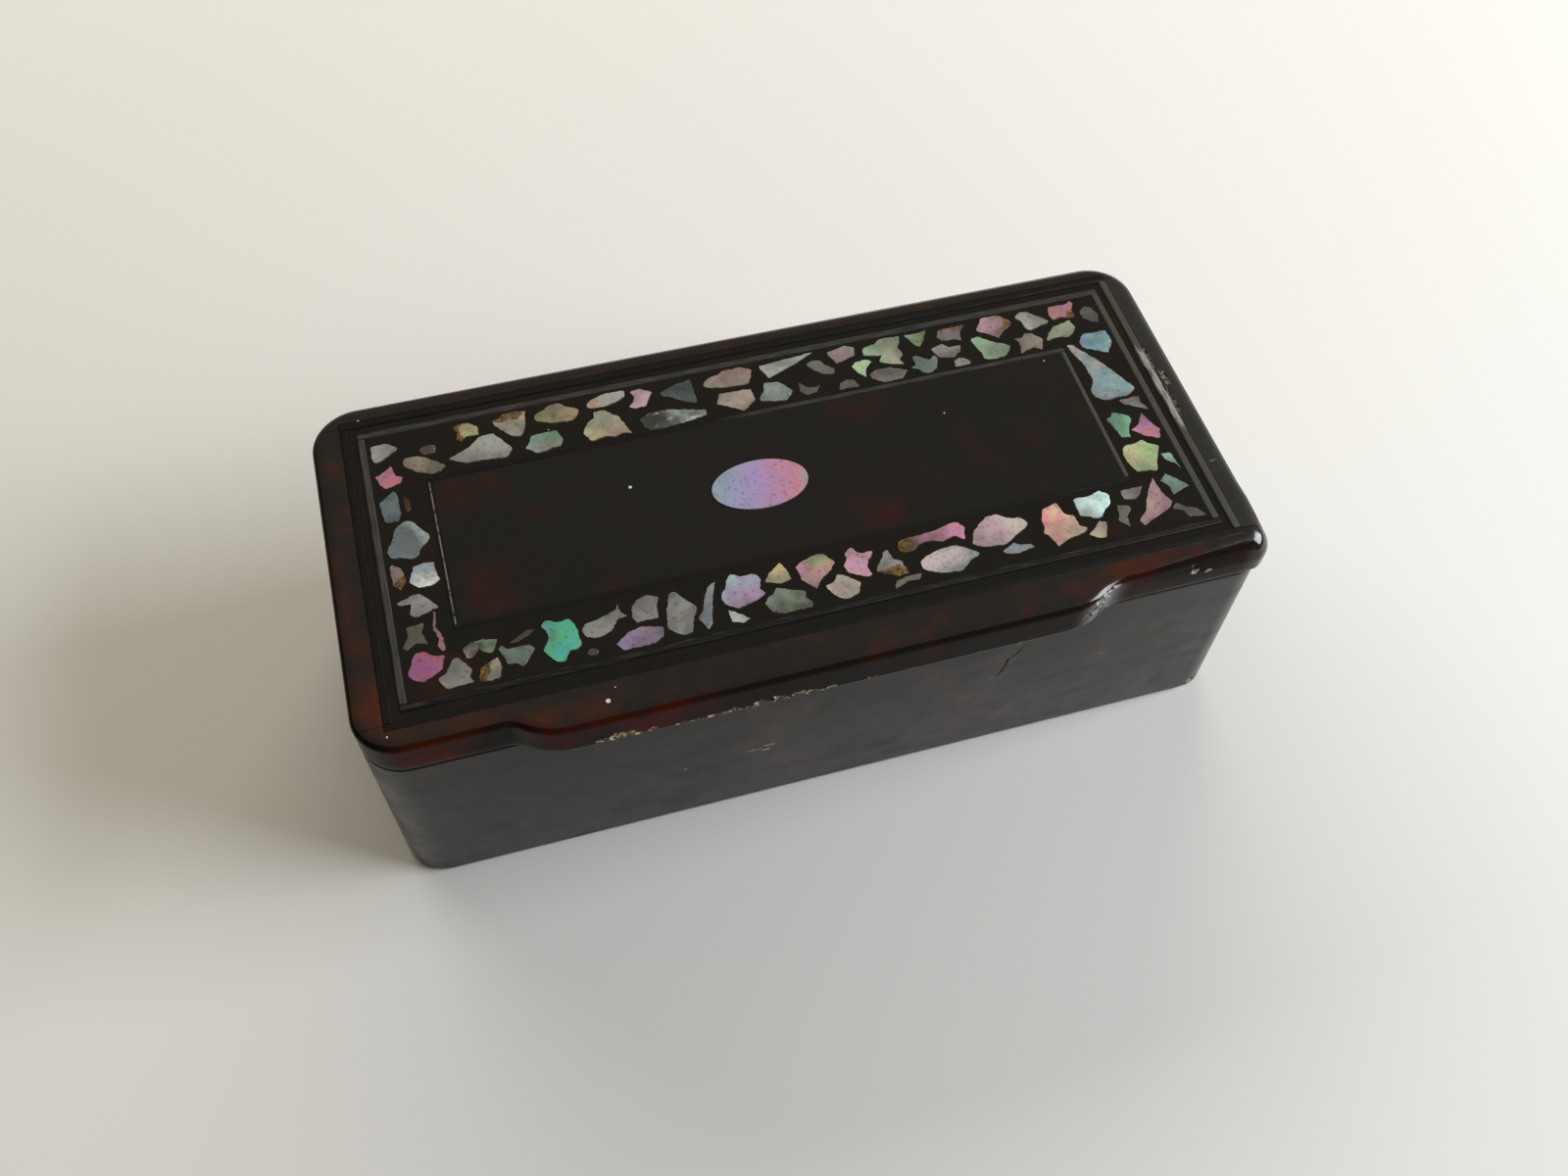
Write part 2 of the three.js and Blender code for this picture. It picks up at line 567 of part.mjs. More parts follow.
// Dark coat of the border, open around the centre panel and around each chip.
function borderGround() {
  const x = INNER_STRING.x - INNER_STRING.width;
  const y = INNER_STRING.y - INNER_STRING.width;
  const shape = rectangle(THREE.Shape, -x, x, -y, y);
  shape.holes.push(rectangle(THREE.Path,
    PANEL_STRING.left, PANEL_STRING.right, -PANEL_STRING.y, PANEL_STRING.y));
  for (const chip of CHIPS) {
    shape.holes.push(new THREE.Path(grown(chipOutline(chip), SEAM_GAP)));
  }
  return plate(shape, INLAY_BASE, GROUND_TOP);
}

// ---------- assembly ----------

function piece(name, geometry, surface) {
  const mesh = new THREE.Mesh(geometry, surface);
  mesh.name = name;
  return mesh;
}

function bodyGroup() {
  const group = new THREE.Group();
  group.name = 'body';
  group.add(
    piece('floor_board', floorBoard(), insideLacquer()),
    piece('wall_front', wall(0), lacquer()),
    piece('wall_right', wall(1), lacquer()),
    piece('wall_rear', rearWall(), lacquer()),
    piece('wall_left', wall(3), lacquer()),
    piece('hinge_pin', hingePin(), brass()),
  );
  return group;
}

function lidGroup() {
  const group = new THREE.Group();
  group.name = 'lid';
  group.add(
    piece('lid_board', lidBoard(), lacquer()),
    piece('lid_inner_panel', innerPanel(), insideLacquer()),
    piece('dark_fillet', darkFillet(), lacquer()),
    piece('border_ground', borderGround(), lacquer()),
    piece('centre_panel', centrePanel(), lacquer()),
    piece('oval_plaque', ovalPlaque(), shell('green')),
  );
  for (const side of ['front', 'rear', 'left', 'right']) {
    group.add(piece(`frame_${side}`, frameStrip(side), lacquer()));
  }
  const symmetric = ({ x, y, width }) => ({ left: -x, right: x, y, width });
  const rectangles = {
    string_outer: symmetric(OUTER_STRING),
    string_inner: symmetric(INNER_STRING),
    string_panel: PANEL_STRING,
  };
  for (const [name, sizes] of Object.entries(rectangles)) {
    for (const [side, strip] of Object.entries(stringStrips(sizes))) {
      group.add(piece(`${name}_${side}`, strip, stringing()));
    }
  }
  for (const chip of CHIPS) {
    group.add(piece(`chip_${chip.at}`, shellChip(chip), shell(chip.tint)));
  }
  return group;
}

const snuffBox = new THREE.Group();
snuffBox.name = 'snuff_box';
snuffBox.add(bodyGroup(), lidGroup());

export default snuffBox;
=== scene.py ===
"""Looks of a small hinged box of dark lacquered board with a framed border of shell flakes.

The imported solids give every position. Walls, lid board, frame strips and flakes are made again
here as finer meshes of the same size. Strings, coats, panels and plaque keep their solids, with
bevels and materials. Lengths are in millimetres unless a comment says otherwise.
"""

import math

import bmesh
import bpy
from mathutils import Matrix, Vector, noise


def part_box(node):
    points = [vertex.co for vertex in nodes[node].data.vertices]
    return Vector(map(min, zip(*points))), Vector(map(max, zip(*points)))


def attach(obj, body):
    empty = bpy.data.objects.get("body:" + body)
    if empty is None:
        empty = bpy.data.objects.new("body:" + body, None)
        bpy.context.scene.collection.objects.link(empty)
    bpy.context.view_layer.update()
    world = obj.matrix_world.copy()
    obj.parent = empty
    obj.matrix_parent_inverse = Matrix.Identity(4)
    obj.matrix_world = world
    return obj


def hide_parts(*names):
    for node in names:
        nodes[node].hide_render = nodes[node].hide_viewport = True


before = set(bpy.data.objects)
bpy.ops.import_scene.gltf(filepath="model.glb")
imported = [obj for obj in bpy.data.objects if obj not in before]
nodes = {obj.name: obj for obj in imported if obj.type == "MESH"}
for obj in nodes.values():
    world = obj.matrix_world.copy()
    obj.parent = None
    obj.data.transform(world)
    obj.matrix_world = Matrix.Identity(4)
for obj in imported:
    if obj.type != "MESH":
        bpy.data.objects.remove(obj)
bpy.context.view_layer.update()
MM = 0.001

# ---------- sizes, as in the solid model ----------

HALF_LENGTH, HALF_DEPTH = 44.0, 19.75
RIM_HEIGHT, LID_TOP = 22.8, 27.0
WALL, FOOT_ROUNDING, RIM_ROUNDING = 3.0, 0.6, 0.25
LIP_FRONT = 21.7
# The S curve at each end of the lip: where it starts, and its hollow and full radii.
LIP_LEFT, LIP_RIGHT = (-31.0, 2.2, 7.0), (21.9, 7.1, 7.1)
FRAME_BASE, INLAY_BASE, GROUND_TOP = 25.7, 26.5, 26.95
PLATEAU_BASE, PRESSED_BASE = 24.7, GROUND_TOP - 0.1
FRAME_EDGE_HEIGHT, FRAME_EDGE_INSET = 0.75, 1.2
# The lid's lower edge: its rounding, and the height under which it counts as the underside.
LID_FOOT_ROUNDING, UNDERSIDE = 0.4, RIM_HEIGHT + 0.5
LAYER_STEP, SIDE_LAYERS = 0.25, 7
# The lid's edge is rubbed rounder along its right end, and most of all at the front corner.
LID_FRONT_RIGHT_RADIUS = 2.0
RUBBED_SIDE = {"height": 0.55, "inset": 0.5, "shift": 0.35, "pull": 0.0}
RUBBED_CORNER = {"height": 1.8, "inset": 0.6, "shift": 0.0, "pull": 0.5}
# Where the rubbing sets in and where it is full: along X, and as distance from that corner.
RUBBED_ALONG, RUBBED_NEAR = (34.0, 41.0), (8.0, 1.0)
STRING_X, STRING_Y, SEAM_Y, SEAM_GAP = 41.1, 17.8, 17.2, 0.05
HINGE_Y, HINGE_HALF_SPAN, KNUCKLES = 18.91, 37.0, 9
KNUCKLE_RADIUS, KNUCKLE_CUT, BORE = 1.4, 1.48, 0.55
# Each knuckle is this much shorter than its place, and the place of its neighbour this longer.
KNUCKLE_SHORT, KNUCKLE_ROOM, BORE_OVERHANG = 0.05, 0.1, 0.5
LID_SWING = math.radians(108)
CRACK_WIDTH, CRACK_DEPTH = 0.14, 0.4
# How far inside a face the middle of a crack or of a chip out of an edge lies.
SUNK = 0.1
CHIP_DEPTH, CHIP_RISE = 0.45, 0.2
# How rough the breaks are.
SMOOTHER, ROUGHER = 0.6, 0.9
# Heights that clear the frame on both sides, for cutting it to its parts.
CLEAR = (24, 28)
# Upright part of a normal: a face looks down if below the first, and is a side if below the second.
LOOKS_DOWN, TOP_FACE = -0.02, 0.85
FLOOR_REACH, FLOOR_THICKNESS = 3000, 8
# Steps in a quarter of a curve.
ARC = 10

# ---------- meshes ----------


def arc(cx, cy, radius, start, end, steps, hollow=False):
    """Points of an arc as (x, y, outward x, outward y)."""
    sign = -1 if hollow else 1
    points = []
    for i in range(steps + 1):
        a = math.radians(start + (end - start) * i / steps)
        c, s = math.cos(a), math.sin(a)
        points.append((cx + radius * c, cy + radius * s, sign * c, sign * s))
    return points


CORNERS = [(-1, -1, 180, 4.3), (1, -1, 270, 3.3), (1, 1, 0, 4.5), (-1, 1, 90, 4.75)]


def quarter(steps):
    """Cosine and sine at each step from 0 to 90 degrees."""
    angles = [math.pi / 2 * i / steps for i in range(steps + 1)]
    return [(math.cos(a), math.sin(a)) for a in angles]


def corner_arc(index, start=0, end=90, steps=2 * ARC, radius=None):
    sx, sy, first, usual = CORNERS[index % 4]
    radius = radius or usual
    cx, cy = sx * (HALF_LENGTH - radius), sy * (HALF_DEPTH - radius)
    return arc(cx, cy, radius, first + start, first + end, steps)


def straight(before, after, count):
    """Points between the end of one arc and the start of the next."""
    a, b = before[-1], after[0]
    return [tuple(a[k] + (b[k] - a[k]) * i / count for k in range(4)) for i in range(1, count)]


def wall_path(index):
    here = corner_arc(index, 45, 90, ARC)
    there = corner_arc(index + 1, 0, 45, ARC)
    return here + straight(here, there, 12) + there


def lip_curve(hollow, full):
    """Turn in degrees and run along X of an S curve of the lip."""
    angle = math.acos(1 - (LIP_FRONT - HALF_DEPTH) / (hollow + full))
    return math.degrees(angle), (hollow + full) * math.sin(angle)


def lid_outline():
    left, left_hollow, left_full = LIP_LEFT
    right, right_hollow, right_full = LIP_RIGHT
    left_turn, left_run = lip_curve(left_hollow, left_full)
    right_turn, right_run = lip_curve(right_hollow, right_full)
    right_side = straight(corner_arc(1, radius=LID_FRONT_RIGHT_RADIUS), corner_arc(2), 16)
    return (
        corner_arc(0)
        + arc(left, -HALF_DEPTH - left_hollow, left_hollow, 90, 90 - left_turn, ARC, True)
        + arc(left + left_run, -LIP_FRONT + left_full, left_full, 270 - left_turn, 270, ARC)[1:]
        + arc(right, -LIP_FRONT + right_full, right_full, 270, 270 + right_turn, ARC)
        + arc(right + right_run, -HALF_DEPTH - right_hollow, right_hollow, 90 + right_turn, 90,
              ARC, True)[1:]
        + corner_arc(1, radius=LID_FRONT_RIGHT_RADIUS)
        + right_side
        + corner_arc(2)
        + corner_arc(3)
    )


def mesh_from(name, points, faces):
    mesh = bpy.data.meshes.new(name)
    mesh.from_pydata([Vector(p) * MM for p in points], [], faces)
    bm = bmesh.new()
    bm.from_mesh(mesh)
    bmesh.ops.recalc_face_normals(bm, faces=bm.faces)
    bm.to_mesh(mesh)
    bm.free()
    return mesh


def rings(name, ring_points, size):
    """Closed solid from rings of `size` points, with both ends capped."""
    count = len(ring_points) // size
    faces = [tuple(range(size)), tuple(range((count - 1) * size, count * size))]
    for r in range(count - 1):
        for i in range(size):
            a, b = r * size + i, r * size + (i + 1) % size
            faces.append((a, b, b + size, a + size))
    return mesh_from(name, ring_points, faces)


def ease(value, start, end):
    """Goes smoothly from 0 at `start` to 1 at `end`."""
    t = min(max((value - start) / (end - start), 0), 1)
    return t * t * (3 - 2 * t)


def rubbed_point(x, y, nx, ny, d, z):
    """Point of the lid's side at a height, with the side's softly rounded upper edge."""
    side = ease(x, *RUBBED_ALONG)
    corner = ease(math.hypot(x - HALF_LENGTH, y + HALF_DEPTH), *RUBBED_NEAR)
    painted_edge_glint = {key: max(side * RUBBED_SIDE[key] * (1 - corner), corner * RUBBED_CORNER[key])
              for key in RUBBED_SIDE}
    height = FRAME_EDGE_HEIGHT + painted_edge_glint["height"]
    up = min(max((z - LID_TOP + height) / height, 0), 1)
    drop = 1 - math.sqrt(1 - up * up)
    inset = d + (FRAME_EDGE_INSET + painted_edge_glint["inset"]) * drop
    pull = painted_edge_glint["pull"] * drop
    return x - nx * inset - pull - painted_edge_glint["shift"], y - ny * inset + pull, z


def lid_loft(name, outline, layers):
    """Loft of layers (inset, height), with the lid's rubbed upper edge worked in."""
    points = [rubbed_point(*place, d, z) for d, z in layers for place in outline]
    return rings(name, points, len(outline))


def sweep(name, path, section):
    points = [(x - nx * d, y - ny * d, z) for x, y, nx, ny in path for d, z in section]
    return rings(name, points, len(section))


def slab(name, x0, x1, y0, y1, z0, z1):
    points = [(x, y, z) for z in (z0, z1) for x, y in ((x0, y0), (x1, y0), (x1, y1), (x0, y1))]
    return rings(name, points, 4)


def bar_along_x(name, x0, x1, radius, sides=40):
    points = []
    for x in (x0, x1):
        for i in range(sides):
            a = 2 * math.pi * i / sides
            points.append((x, HINGE_Y + radius * math.cos(a), RIM_HEIGHT + radius * math.sin(a)))
    return rings(name, points, sides)


def plate(name, outline, z0, z1):
    return rings(name, [(x, y, z) for z in (z0, z1) for x, y in outline], len(outline))


def add_object(name, mesh, *materials):
    thing = bpy.data.objects.new(name, mesh)
    bpy.context.scene.collection.objects.link(thing)
    for material in materials:
        mesh.materials.append(material)
    return thing


def carve(thing, cutters, operation="DIFFERENCE"):
    """Cuts or joins meshes. Cut faces take the cutter's material where it has one."""
    for cutter in cutters:
        tool = bpy.data.objects.new("tool", cutter)
        bpy.context.scene.collection.objects.link(tool)
        step = thing.modifiers.new("cut", "BOOLEAN")
        step.operation = operation
        step.object = tool
        step.solver = "EXACT"
        step.material_mode = "TRANSFER"
        bpy.context.view_layer.update()
        result = bpy.data.meshes.new_from_object(
            thing.evaluated_get(bpy.context.evaluated_depsgraph_get()))
        thing.modifiers.remove(step)
        thing.data = result
        bpy.data.objects.remove(tool)


def smooth(thing, degrees=22):
    """Smooth shading, with creases at steep edges and round every cut of another material."""
    mesh = thing.data
    mesh.shade_smooth()
    mesh.set_sharp_from_angle(angle=math.radians(degrees))
    kinds = {}
    for face in mesh.polygons:
        for key in face.edge_keys:
            kinds.setdefault(key, set()).add(face.material_index)
    for edge in mesh.edges:
        if len(kinds[edge.key]) > 1:
            edge.use_edge_sharp = True


def paint_faces(thing, wanted, slot=2):
    """Gives the third material to the faces of the first that `wanted` picks."""
    for face in thing.data.polygons:
        if face.material_index == 0 and wanted(face.center / MM, face.normal):
            face.material_index = slot


def bevel(thing, width, segments=2, degrees=40, material=-1, weld=False):
    if weld:
        weld_step = thing.modifiers.new("weld", "WELD")
        weld_step.merge_threshold = 1e-6
    step = thing.modifiers.new("bevel", "BEVEL")
    step.width = width * MM
    step.segments = segments
    step.limit_method = "ANGLE"
    step.angle_limit = math.radians(degrees)
    step.material = material
    step.harden_normals = False


def rounded(points, radius, steps=3):
    """Outline with each corner replaced by a short curve."""
    corners = [Vector(p) for p in points]
    result = []
    for i, corner in enumerate(corners):
        before, after = corners[i - 1], corners[(i + 1) % len(corners)]
        ends = []
        for other in (before, after):
            span = (other - corner).length
            ends.append(corner.lerp(other, min(radius, span * 0.42) / span))
        for k in range(steps + 1):
            t = k / steps
            first, last = ends[0].lerp(corner, t), corner.lerp(ends[1], t)
            result.append(tuple(first.lerp(last, t)))
    return result


def ragged(points, step=0.16, depth=0.05):
    """Outline with short uneven breaks along its edges."""
    result = []
    for i, point in enumerate(points):
        a, b = Vector(point), Vector(points[(i + 1) % len(points)])
        count = max(1, round((b - a).length / step))
        for k in range(count):
            p = a.lerp(b, k / count).to_3d()
            push = noise.noise_vector(p * 2.3) * 1.6 + noise.noise_vector(p * 6.1)
            result.append((p.x + depth * push.x, p.y + depth * push.y))
    return result


def top_outline(node):
    """Outline of a packed flat solid, in millimetres, read from its top face."""
    mesh = nodes[node].data
    top = max(v.co.z for v in mesh.vertices) - 1e-6
    key = {v.index: (round(v.co.x / MM, 4), round(v.co.y / MM, 4)) for v in mesh.vertices}
    links = {}
    for face in mesh.polygons:
        if all(mesh.vertices[i].co.z > top for i in face.vertices):
            for a, b in face.edge_keys:
                pair = frozenset((key[a], key[b]))
                links[pair] = links.get(pair, 0) + 1
    joined = {}
    for pair, count in links.items():
        if count == 1:
            a, b = pair
            joined.setdefault(a, []).append(b)
            joined.setdefault(b, []).append(a)
    start = min(joined)
    path = [start]
    before = None
    while True:
        ahead = sorted(p for p in joined[path[-1]] if p != before)[0]
        if ahead == start:
            return path
        before = path[-1]
        path.append(ahead)


def pebble(centre, radii, seed, rough):
    """Rough-sided lump with the given half sizes, for breaking chips out of an edge."""
    bm = bmesh.new()
    bmesh.ops.create_icosphere(bm, subdivisions=3, radius=1)
    for v in bm.verts:
        wobble = 1 + rough * noise.noise(v.co * 1.7 + Vector((seed * 7.3, seed, 0)))
        wobble += 0.4 * rough * noise.noise(v.co * 5.1 + Vector((seed, 0, seed * 3.1)))
        v.co = Vector([(centre[k] + v.co[k] * radii[k] * wobble) * MM for k in range(3)])
    mesh = bpy.data.meshes.new("pebble")
    bm.to_mesh(mesh)
    bm.free()
    return mesh


def break_out(thing, centre, radii, seed, rough, material):
    """Cuts a rough chip out of a mesh and shows a material in the break."""
    chip = pebble(centre, radii, seed, rough)
    chip.materials.append(material)
    carve(thing, [chip])


def groove(name, points, width, depth, outward):
    """Wedge along a line on a surface, for cutting a crack. It tapers off at both ends."""
    outward = Vector(outward)
    line = [Vector(p) for p in points]
    ring_points = []
    for i, p in enumerate(line):
        ahead = line[min(i + 1, len(line) - 1)] - line[max(i - 1, 0)]
        side = outward.cross(ahead).normalized()
        taper = 0.25 if i in (0, len(line) - 1) else 1.0
        half = side * width / 2 * taper
        lift = outward * 0.3
        ring_points += [p + half * 2 + lift, p - half * 2 + lift, p - outward * depth * taper]
    return rings(name, ring_points, 3)


# ---------- materials ----------


def rgb(text):
    values = [int(text[i:i + 2], 16) / 255 for i in (1, 3, 5)]
    return tuple(v / 12.92 if v <= 0.04045 else ((v + 0.055) / 1.055) ** 2.4 for v in values) + (1,)


class Surface:
    """A node material and short ways to add nodes to it. Coordinates are in millimetres."""

    def __init__(self, name):
        self.material = bpy.data.materials.new(name)
        self.material.use_nodes = True
        self.tree = self.material.node_tree
        self.tree.nodes.clear()
        output = self.tree.nodes.new("ShaderNodeOutputMaterial")
        self.shader = self.tree.nodes.new("ShaderNodeBsdfPrincipled")
        self.tree.links.new(self.shader.outputs[0], output.inputs[0])
        place = self.node("TexCoord").outputs["Object"]
        self.place = self.vector("MULTIPLY", place, (1000, 1000, 1000))

    def node(self, kind, inputs=None, **settings):
        made = self.tree.nodes.new("ShaderNode" + kind)
        for key, value in settings.items():
            setattr(made, key, value)
        for key, value in (inputs or {}).items():
            self.put(made.inputs[key], value)
        return made

    def put(self, socket, value):
        if isinstance(value, bpy.types.NodeSocket):
            self.tree.links.new(value, socket)
        else:
            socket.default_value = value

    def set(self, **values):
        """Sets the shader's sockets; an underscore stands for a space."""
        for key, value in values.items():
            self.put(self.shader.inputs[key.replace("_", " ")], value)

    def vector(self, operation, a, b):
        return self.node("VectorMath", {0: a, 1: b}, operation=operation).outputs[0]

    def math(self, operation, a, b=0.0, clamp=False):
        made = self.node("Math", {0: a, 1: b}, operation=operation, use_clamp=clamp)
        return made.outputs[0]

    def add(self, a, b, clamp=False):
        return self.math("ADD", a, b, clamp)

    def times(self, a, b):
        return self.math("MULTIPLY", a, b)

    def scaled(self, factors, turn=0.0, shift=(0, 0, 0)):
        """The coordinates turned about Z, shifted and stretched."""
        centred = self.vector("SUBTRACT", self.place, shift)
        turned = self.node(
            "VectorRotate", {"Vector": centred, "Angle": math.radians(turn)},
            rotation_type="Z_AXIS").outputs[0]
        return self.vector("MULTIPLY", turned, factors)

    def noise(self, scale, detail=3.0, rough=0.55, place=None, warp=0.0):
        made = self.node("TexNoise", {
            "Vector": place or self.place, "Scale": scale, "Detail": detail,
            "Roughness": rough, "Distortion": warp})
        return made.outputs["Fac"]

    def span(self, value, low, high, to_low=0.0, to_high=1.0):
        """Smoothly maps low..high of a value to to_low..to_high."""
        made = self.node("MapRange", {
            "Value": value, "From Min": low, "From Max": high, "To Min": to_low,
            "To Max": to_high}, interpolation_type="SMOOTHSTEP")
        return made.outputs[0]

    def mix(self, factor, a, b, blend="MIX"):
        made = self.node("Mix", data_type="RGBA", blend_type=blend)
        for index, value in ((0, factor), (6, a), (7, b)):
            self.put(made.inputs[index], rgb(value) if isinstance(value, str) else value)
        return made.outputs[2]

    def ramp(self, factor, stops):
        made = self.node("ValToRGB", {"Fac": factor})
        elements = made.color_ramp.elements
        while len(elements) < len(stops):
            elements.new(0.5)
        for element, (position, color) in zip(elements, stops):
            element.position = position
            element.color = rgb(color)
        return made.outputs[0]

    def near(self, spots):
        """Sum of soft spots (x, y, radius x, radius y, strength), seen from above."""
        total = 0.0
        for x, y, rx, ry, strength in spots:
            away = self.vector("SUBTRACT", self.place, (x, y, 0))
            away = self.vector("MULTIPLY", away, (1 / rx, 1 / ry, 0))
            length = self.node("VectorMath", {0: away}, operation="LENGTH").outputs["Value"]
            here = self.span(length, 1.0, 0.0, 0.0, strength)
            total = self.add(total, here)
        return total

    def bumps(self, *layers):
        """Bump from (height, strength, distance in millimetres) layers."""
        normal = None
        for height, strength, distance in layers:
            inputs = {"Height": height, "Strength": strength, "Distance": distance * MM}
            if normal:
                inputs["Normal"] = normal
            normal = self.node("Bump", inputs).outputs[0]
        self.put(self.shader.inputs["Normal"], normal)


RED_SPOTS = [
    (-31, 6, 7, 5, 0.5), (-31, -4, 6, 6, 0.45), (-29, -7, 7, 3, 0.3), (8, -7, 8, 4, 0.55),
    (13, -3, 6, 4, 0.35), (10, 6, 8, 3, 0.2), (29, 0, 5, 6, 0.3), (31, -6, 4, 5, 0.3),
    (-9, -6, 7, 3, 0.15), (-36, -14, 6, 4, 0.4), (38, -15, 6, 5, 0.35), (-36, 0, 2.5, 12, 0.25),
    (28, -13, 10, 3, 0.2),
]


def lacquer(name, dark="#161614", red="#361712", redness=0.0, spots=(), roughness=0.14,
            scratches=0.3, dust=0.08, gloss=0.5, smears=0.0, specks=(), ior=1.5,
            polished=()):
    """Old dark lacquer: black with red-brown clouds, fine scratches and a little dust.

    `smears` is how strongly long level smears dull it, `specks` are pale crumbs stuck to it, and
    `polished` are dented places with a hard shine.
    """
    s = Surface(name)
    clouds = s.noise(0.22, 3, 0.5, warp=0.4)
    fine = s.noise(0.9, 3, 0.55)
    cloudy = s.add(s.times(clouds, 0.86), s.times(fine, 0.14))
    field = s.add(cloudy, redness)
    if spots:
        field = s.add(field, s.times(s.near(spots), 0.42))
    color = s.mix(s.span(field, 0.5, 0.95), dark, red)
    color = s.mix(s.span(s.noise(0.5, 2, 0.5), 0.45, 0.8, 0.0, 0.45), color, dark)
    along = s.noise(1.0, 3, 0.7, s.scaled((0.1, 7.0, 1.0), 2), 0.3)
    across = s.noise(1.0, 3, 0.7, s.scaled((0.2, 9.0, 1.0), -63), 0.3)
    lines = s.math("MAXIMUM", s.span(along, 0.68, 0.8), s.span(across, 0.7, 0.82))
    patches = s.span(s.noise(0.25, 2), 0.46, 0.7)
    marks = s.times(s.times(lines, patches), scratches)
    color = s.mix(s.times(marks, 0.35), color, "#7d766c")
    motes = s.span(s.noise(5.5, 1, 0.4), 0.79, 0.83, 0.0, dust)
    color = s.mix(motes, color, "#a39c8e")
    rough = s.span(s.noise(0.5, 3, 0.55), 0.3, 0.75, roughness, roughness + 0.1)
    rough = s.add(rough, s.times(marks, 0.4))
    if smears:
        smear = s.noise(1.0, 4, 0.6, s.scaled((0.1, 0.1, 0.28)), 0.6)
        veil = s.span(smear, 0.4, 0.75, 0.0, smears)
        rough = s.add(rough, s.times(veil, 0.2))
        color = s.mix(s.times(veil, 0.2), color, "#34332d")
    if specks:
        crumbs = s.span(s.near([(x, y, r, r, 1.0) for x, y, r in specks]), 0.25, 0.5)
        color = s.mix(crumbs, color, "#dedbd2")
    s.set(Base_Color=color, Roughness=rough, IOR=ior, Specular_IOR_Level=gloss)
    s.set(Coat_Weight=0.6 * gloss, Coat_Roughness=0.07, Coat_IOR=1.5)
    layers = [(s.noise(0.22, 2, 0.5), 0.35, 0.12), (s.noise(2.2, 3, 0.55), 0.06, 0.02),
              (marks, 0.4, 0.012)]
    if polished:
        shine = s.near(polished)
        s.set(Coat_Weight=s.add(shine, 0.6 * gloss, clamp=True))
        layers.append((s.times(shine, s.noise(1.3, 2, 0.5)), 0.9, 0.25))
    s.bumps(*layers)
    return s.material


def stringing(name, amount, turn, fade=None, scuffs=(), highlight_line=None):
    """Grey stringing, dark again where `amount` is small. `turn` is its direction.

    `fade` is the two places along X between which the grey sets in, `scuffs` are pale bruises,
    and `highlight_line` is the X of a thin pale line painted along one edge as a highlight.
    """
    s = Surface(name)
    streaks = s.noise(1.0, 4, 0.7, s.scaled((0.35, 6.0, 1.0), turn), 0.2)
    # Share of grey: wear, and on the right side partly a painted sheen.
    grey_share = s.span(s.add(streaks, amount - 0.5), 0.35, 0.72)
    x = s.node("SeparateXYZ", {0: s.place}).outputs["X"]
    if fade:
        grey_share = s.times(grey_share, s.span(x, *fade))
    color = s.mix(grey_share, "#141210", "#474640")
    color = s.mix(s.span(s.noise(2.2, 3), 0.6, 0.8, 0.0, 0.6), color, "#12100e")
    # Pale flecks, more on greyer strings: partly worn dashes, partly painted glints.
    color = s.mix(s.span(s.noise(4.5, 2, 0.5), 0.72, 0.8, 0.0, 0.5 * amount), color, "#a19c90")
    if scuffs:
        ragged_scuffs = s.times(s.near(scuffs), s.span(streaks, 0.38, 0.6))
        color = s.mix(s.span(ragged_scuffs, 0.05, 0.3), color, "#9a9890")
    if highlight_line is not None:
        # Painted highlight: a thin pale line along one edge, broken by noise.
        away = s.math("ABSOLUTE", s.math("SUBTRACT", x, highlight_line))
        painted_edge_glint = s.times(s.span(away, 0.09, 0.05), s.span(s.noise(1.6, 3), 0.35, 0.5))
        color = s.mix(painted_edge_glint, color, "#6e6c63")
    s.set(Base_Color=color, Roughness=s.span(streaks, 0.3, 0.7, 0.5, 0.34), IOR=1.48)
    s.bumps((streaks, 0.6, 0.05), (s.noise(4.0, 3), 0.3, 0.02))
    return s.material


def bare_board(name, tone="#b3a283", dark="#4f4334", pale="#d6c9a8"):
    """Broken edge of the board under the lacquer."""
    s = Surface(name)
    grain = s.noise(2.5, 5, 0.7)
    color = s.ramp(s.span(grain, 0.3, 0.7), [(0, dark), (0.45, tone), (1, pale)])
    s.set(Base_Color=color, Roughness=s.span(grain, 0.3, 0.7, 0.9, 0.6))
    s.bumps((grain, 0.8, 0.12))
    return s.material


def inside_lacquer(name):
    s = Surface(name)
    cloud = s.noise(0.3, 5, 0.6)
    grain = s.noise(1.0, 4, 0.65, s.scaled((0.12, 2.2, 2.2)), 0.3)
    color = s.mix(s.span(cloud, 0.35, 0.7), "#23110e", "#3d1a13")
    color = s.mix(s.span(grain, 0.5, 0.75, 0.0, 0.5), color, "#160c0a")
    color = s.mix(s.span(s.noise(4.5, 2), 0.72, 0.8, 0.0, 0.35), color, "#6d5a48")
    s.set(Base_Color=color, Roughness=s.span(grain, 0.3, 0.7, 0.34, 0.5), IOR=1.48)
    s.set(Coat_Weight=0.15, Coat_Roughness=0.25)
    s.bumps((grain, 0.3, 0.06), (s.noise(3.0, 3), 0.2, 0.02))
    return s.material


def aged_brass(name):
    s = Surface(name)
    stain = s.noise(1.1, 5, 0.65)
    color = s.ramp(s.span(stain, 0.3, 0.7), [(0, "#6a4f2a"), (0.5, "#a8844a"), (1, "#c9a866")])
    s.set(Base_Color=color, Metallic=1.0, Roughness=s.span(stain, 0.3, 0.7, 0.45, 0.26))
    s.bumps((s.noise(1.0, 3, 0.6, s.scaled((5.0, 0.6, 0.6))), 0.25, 0.02))
    return s.material


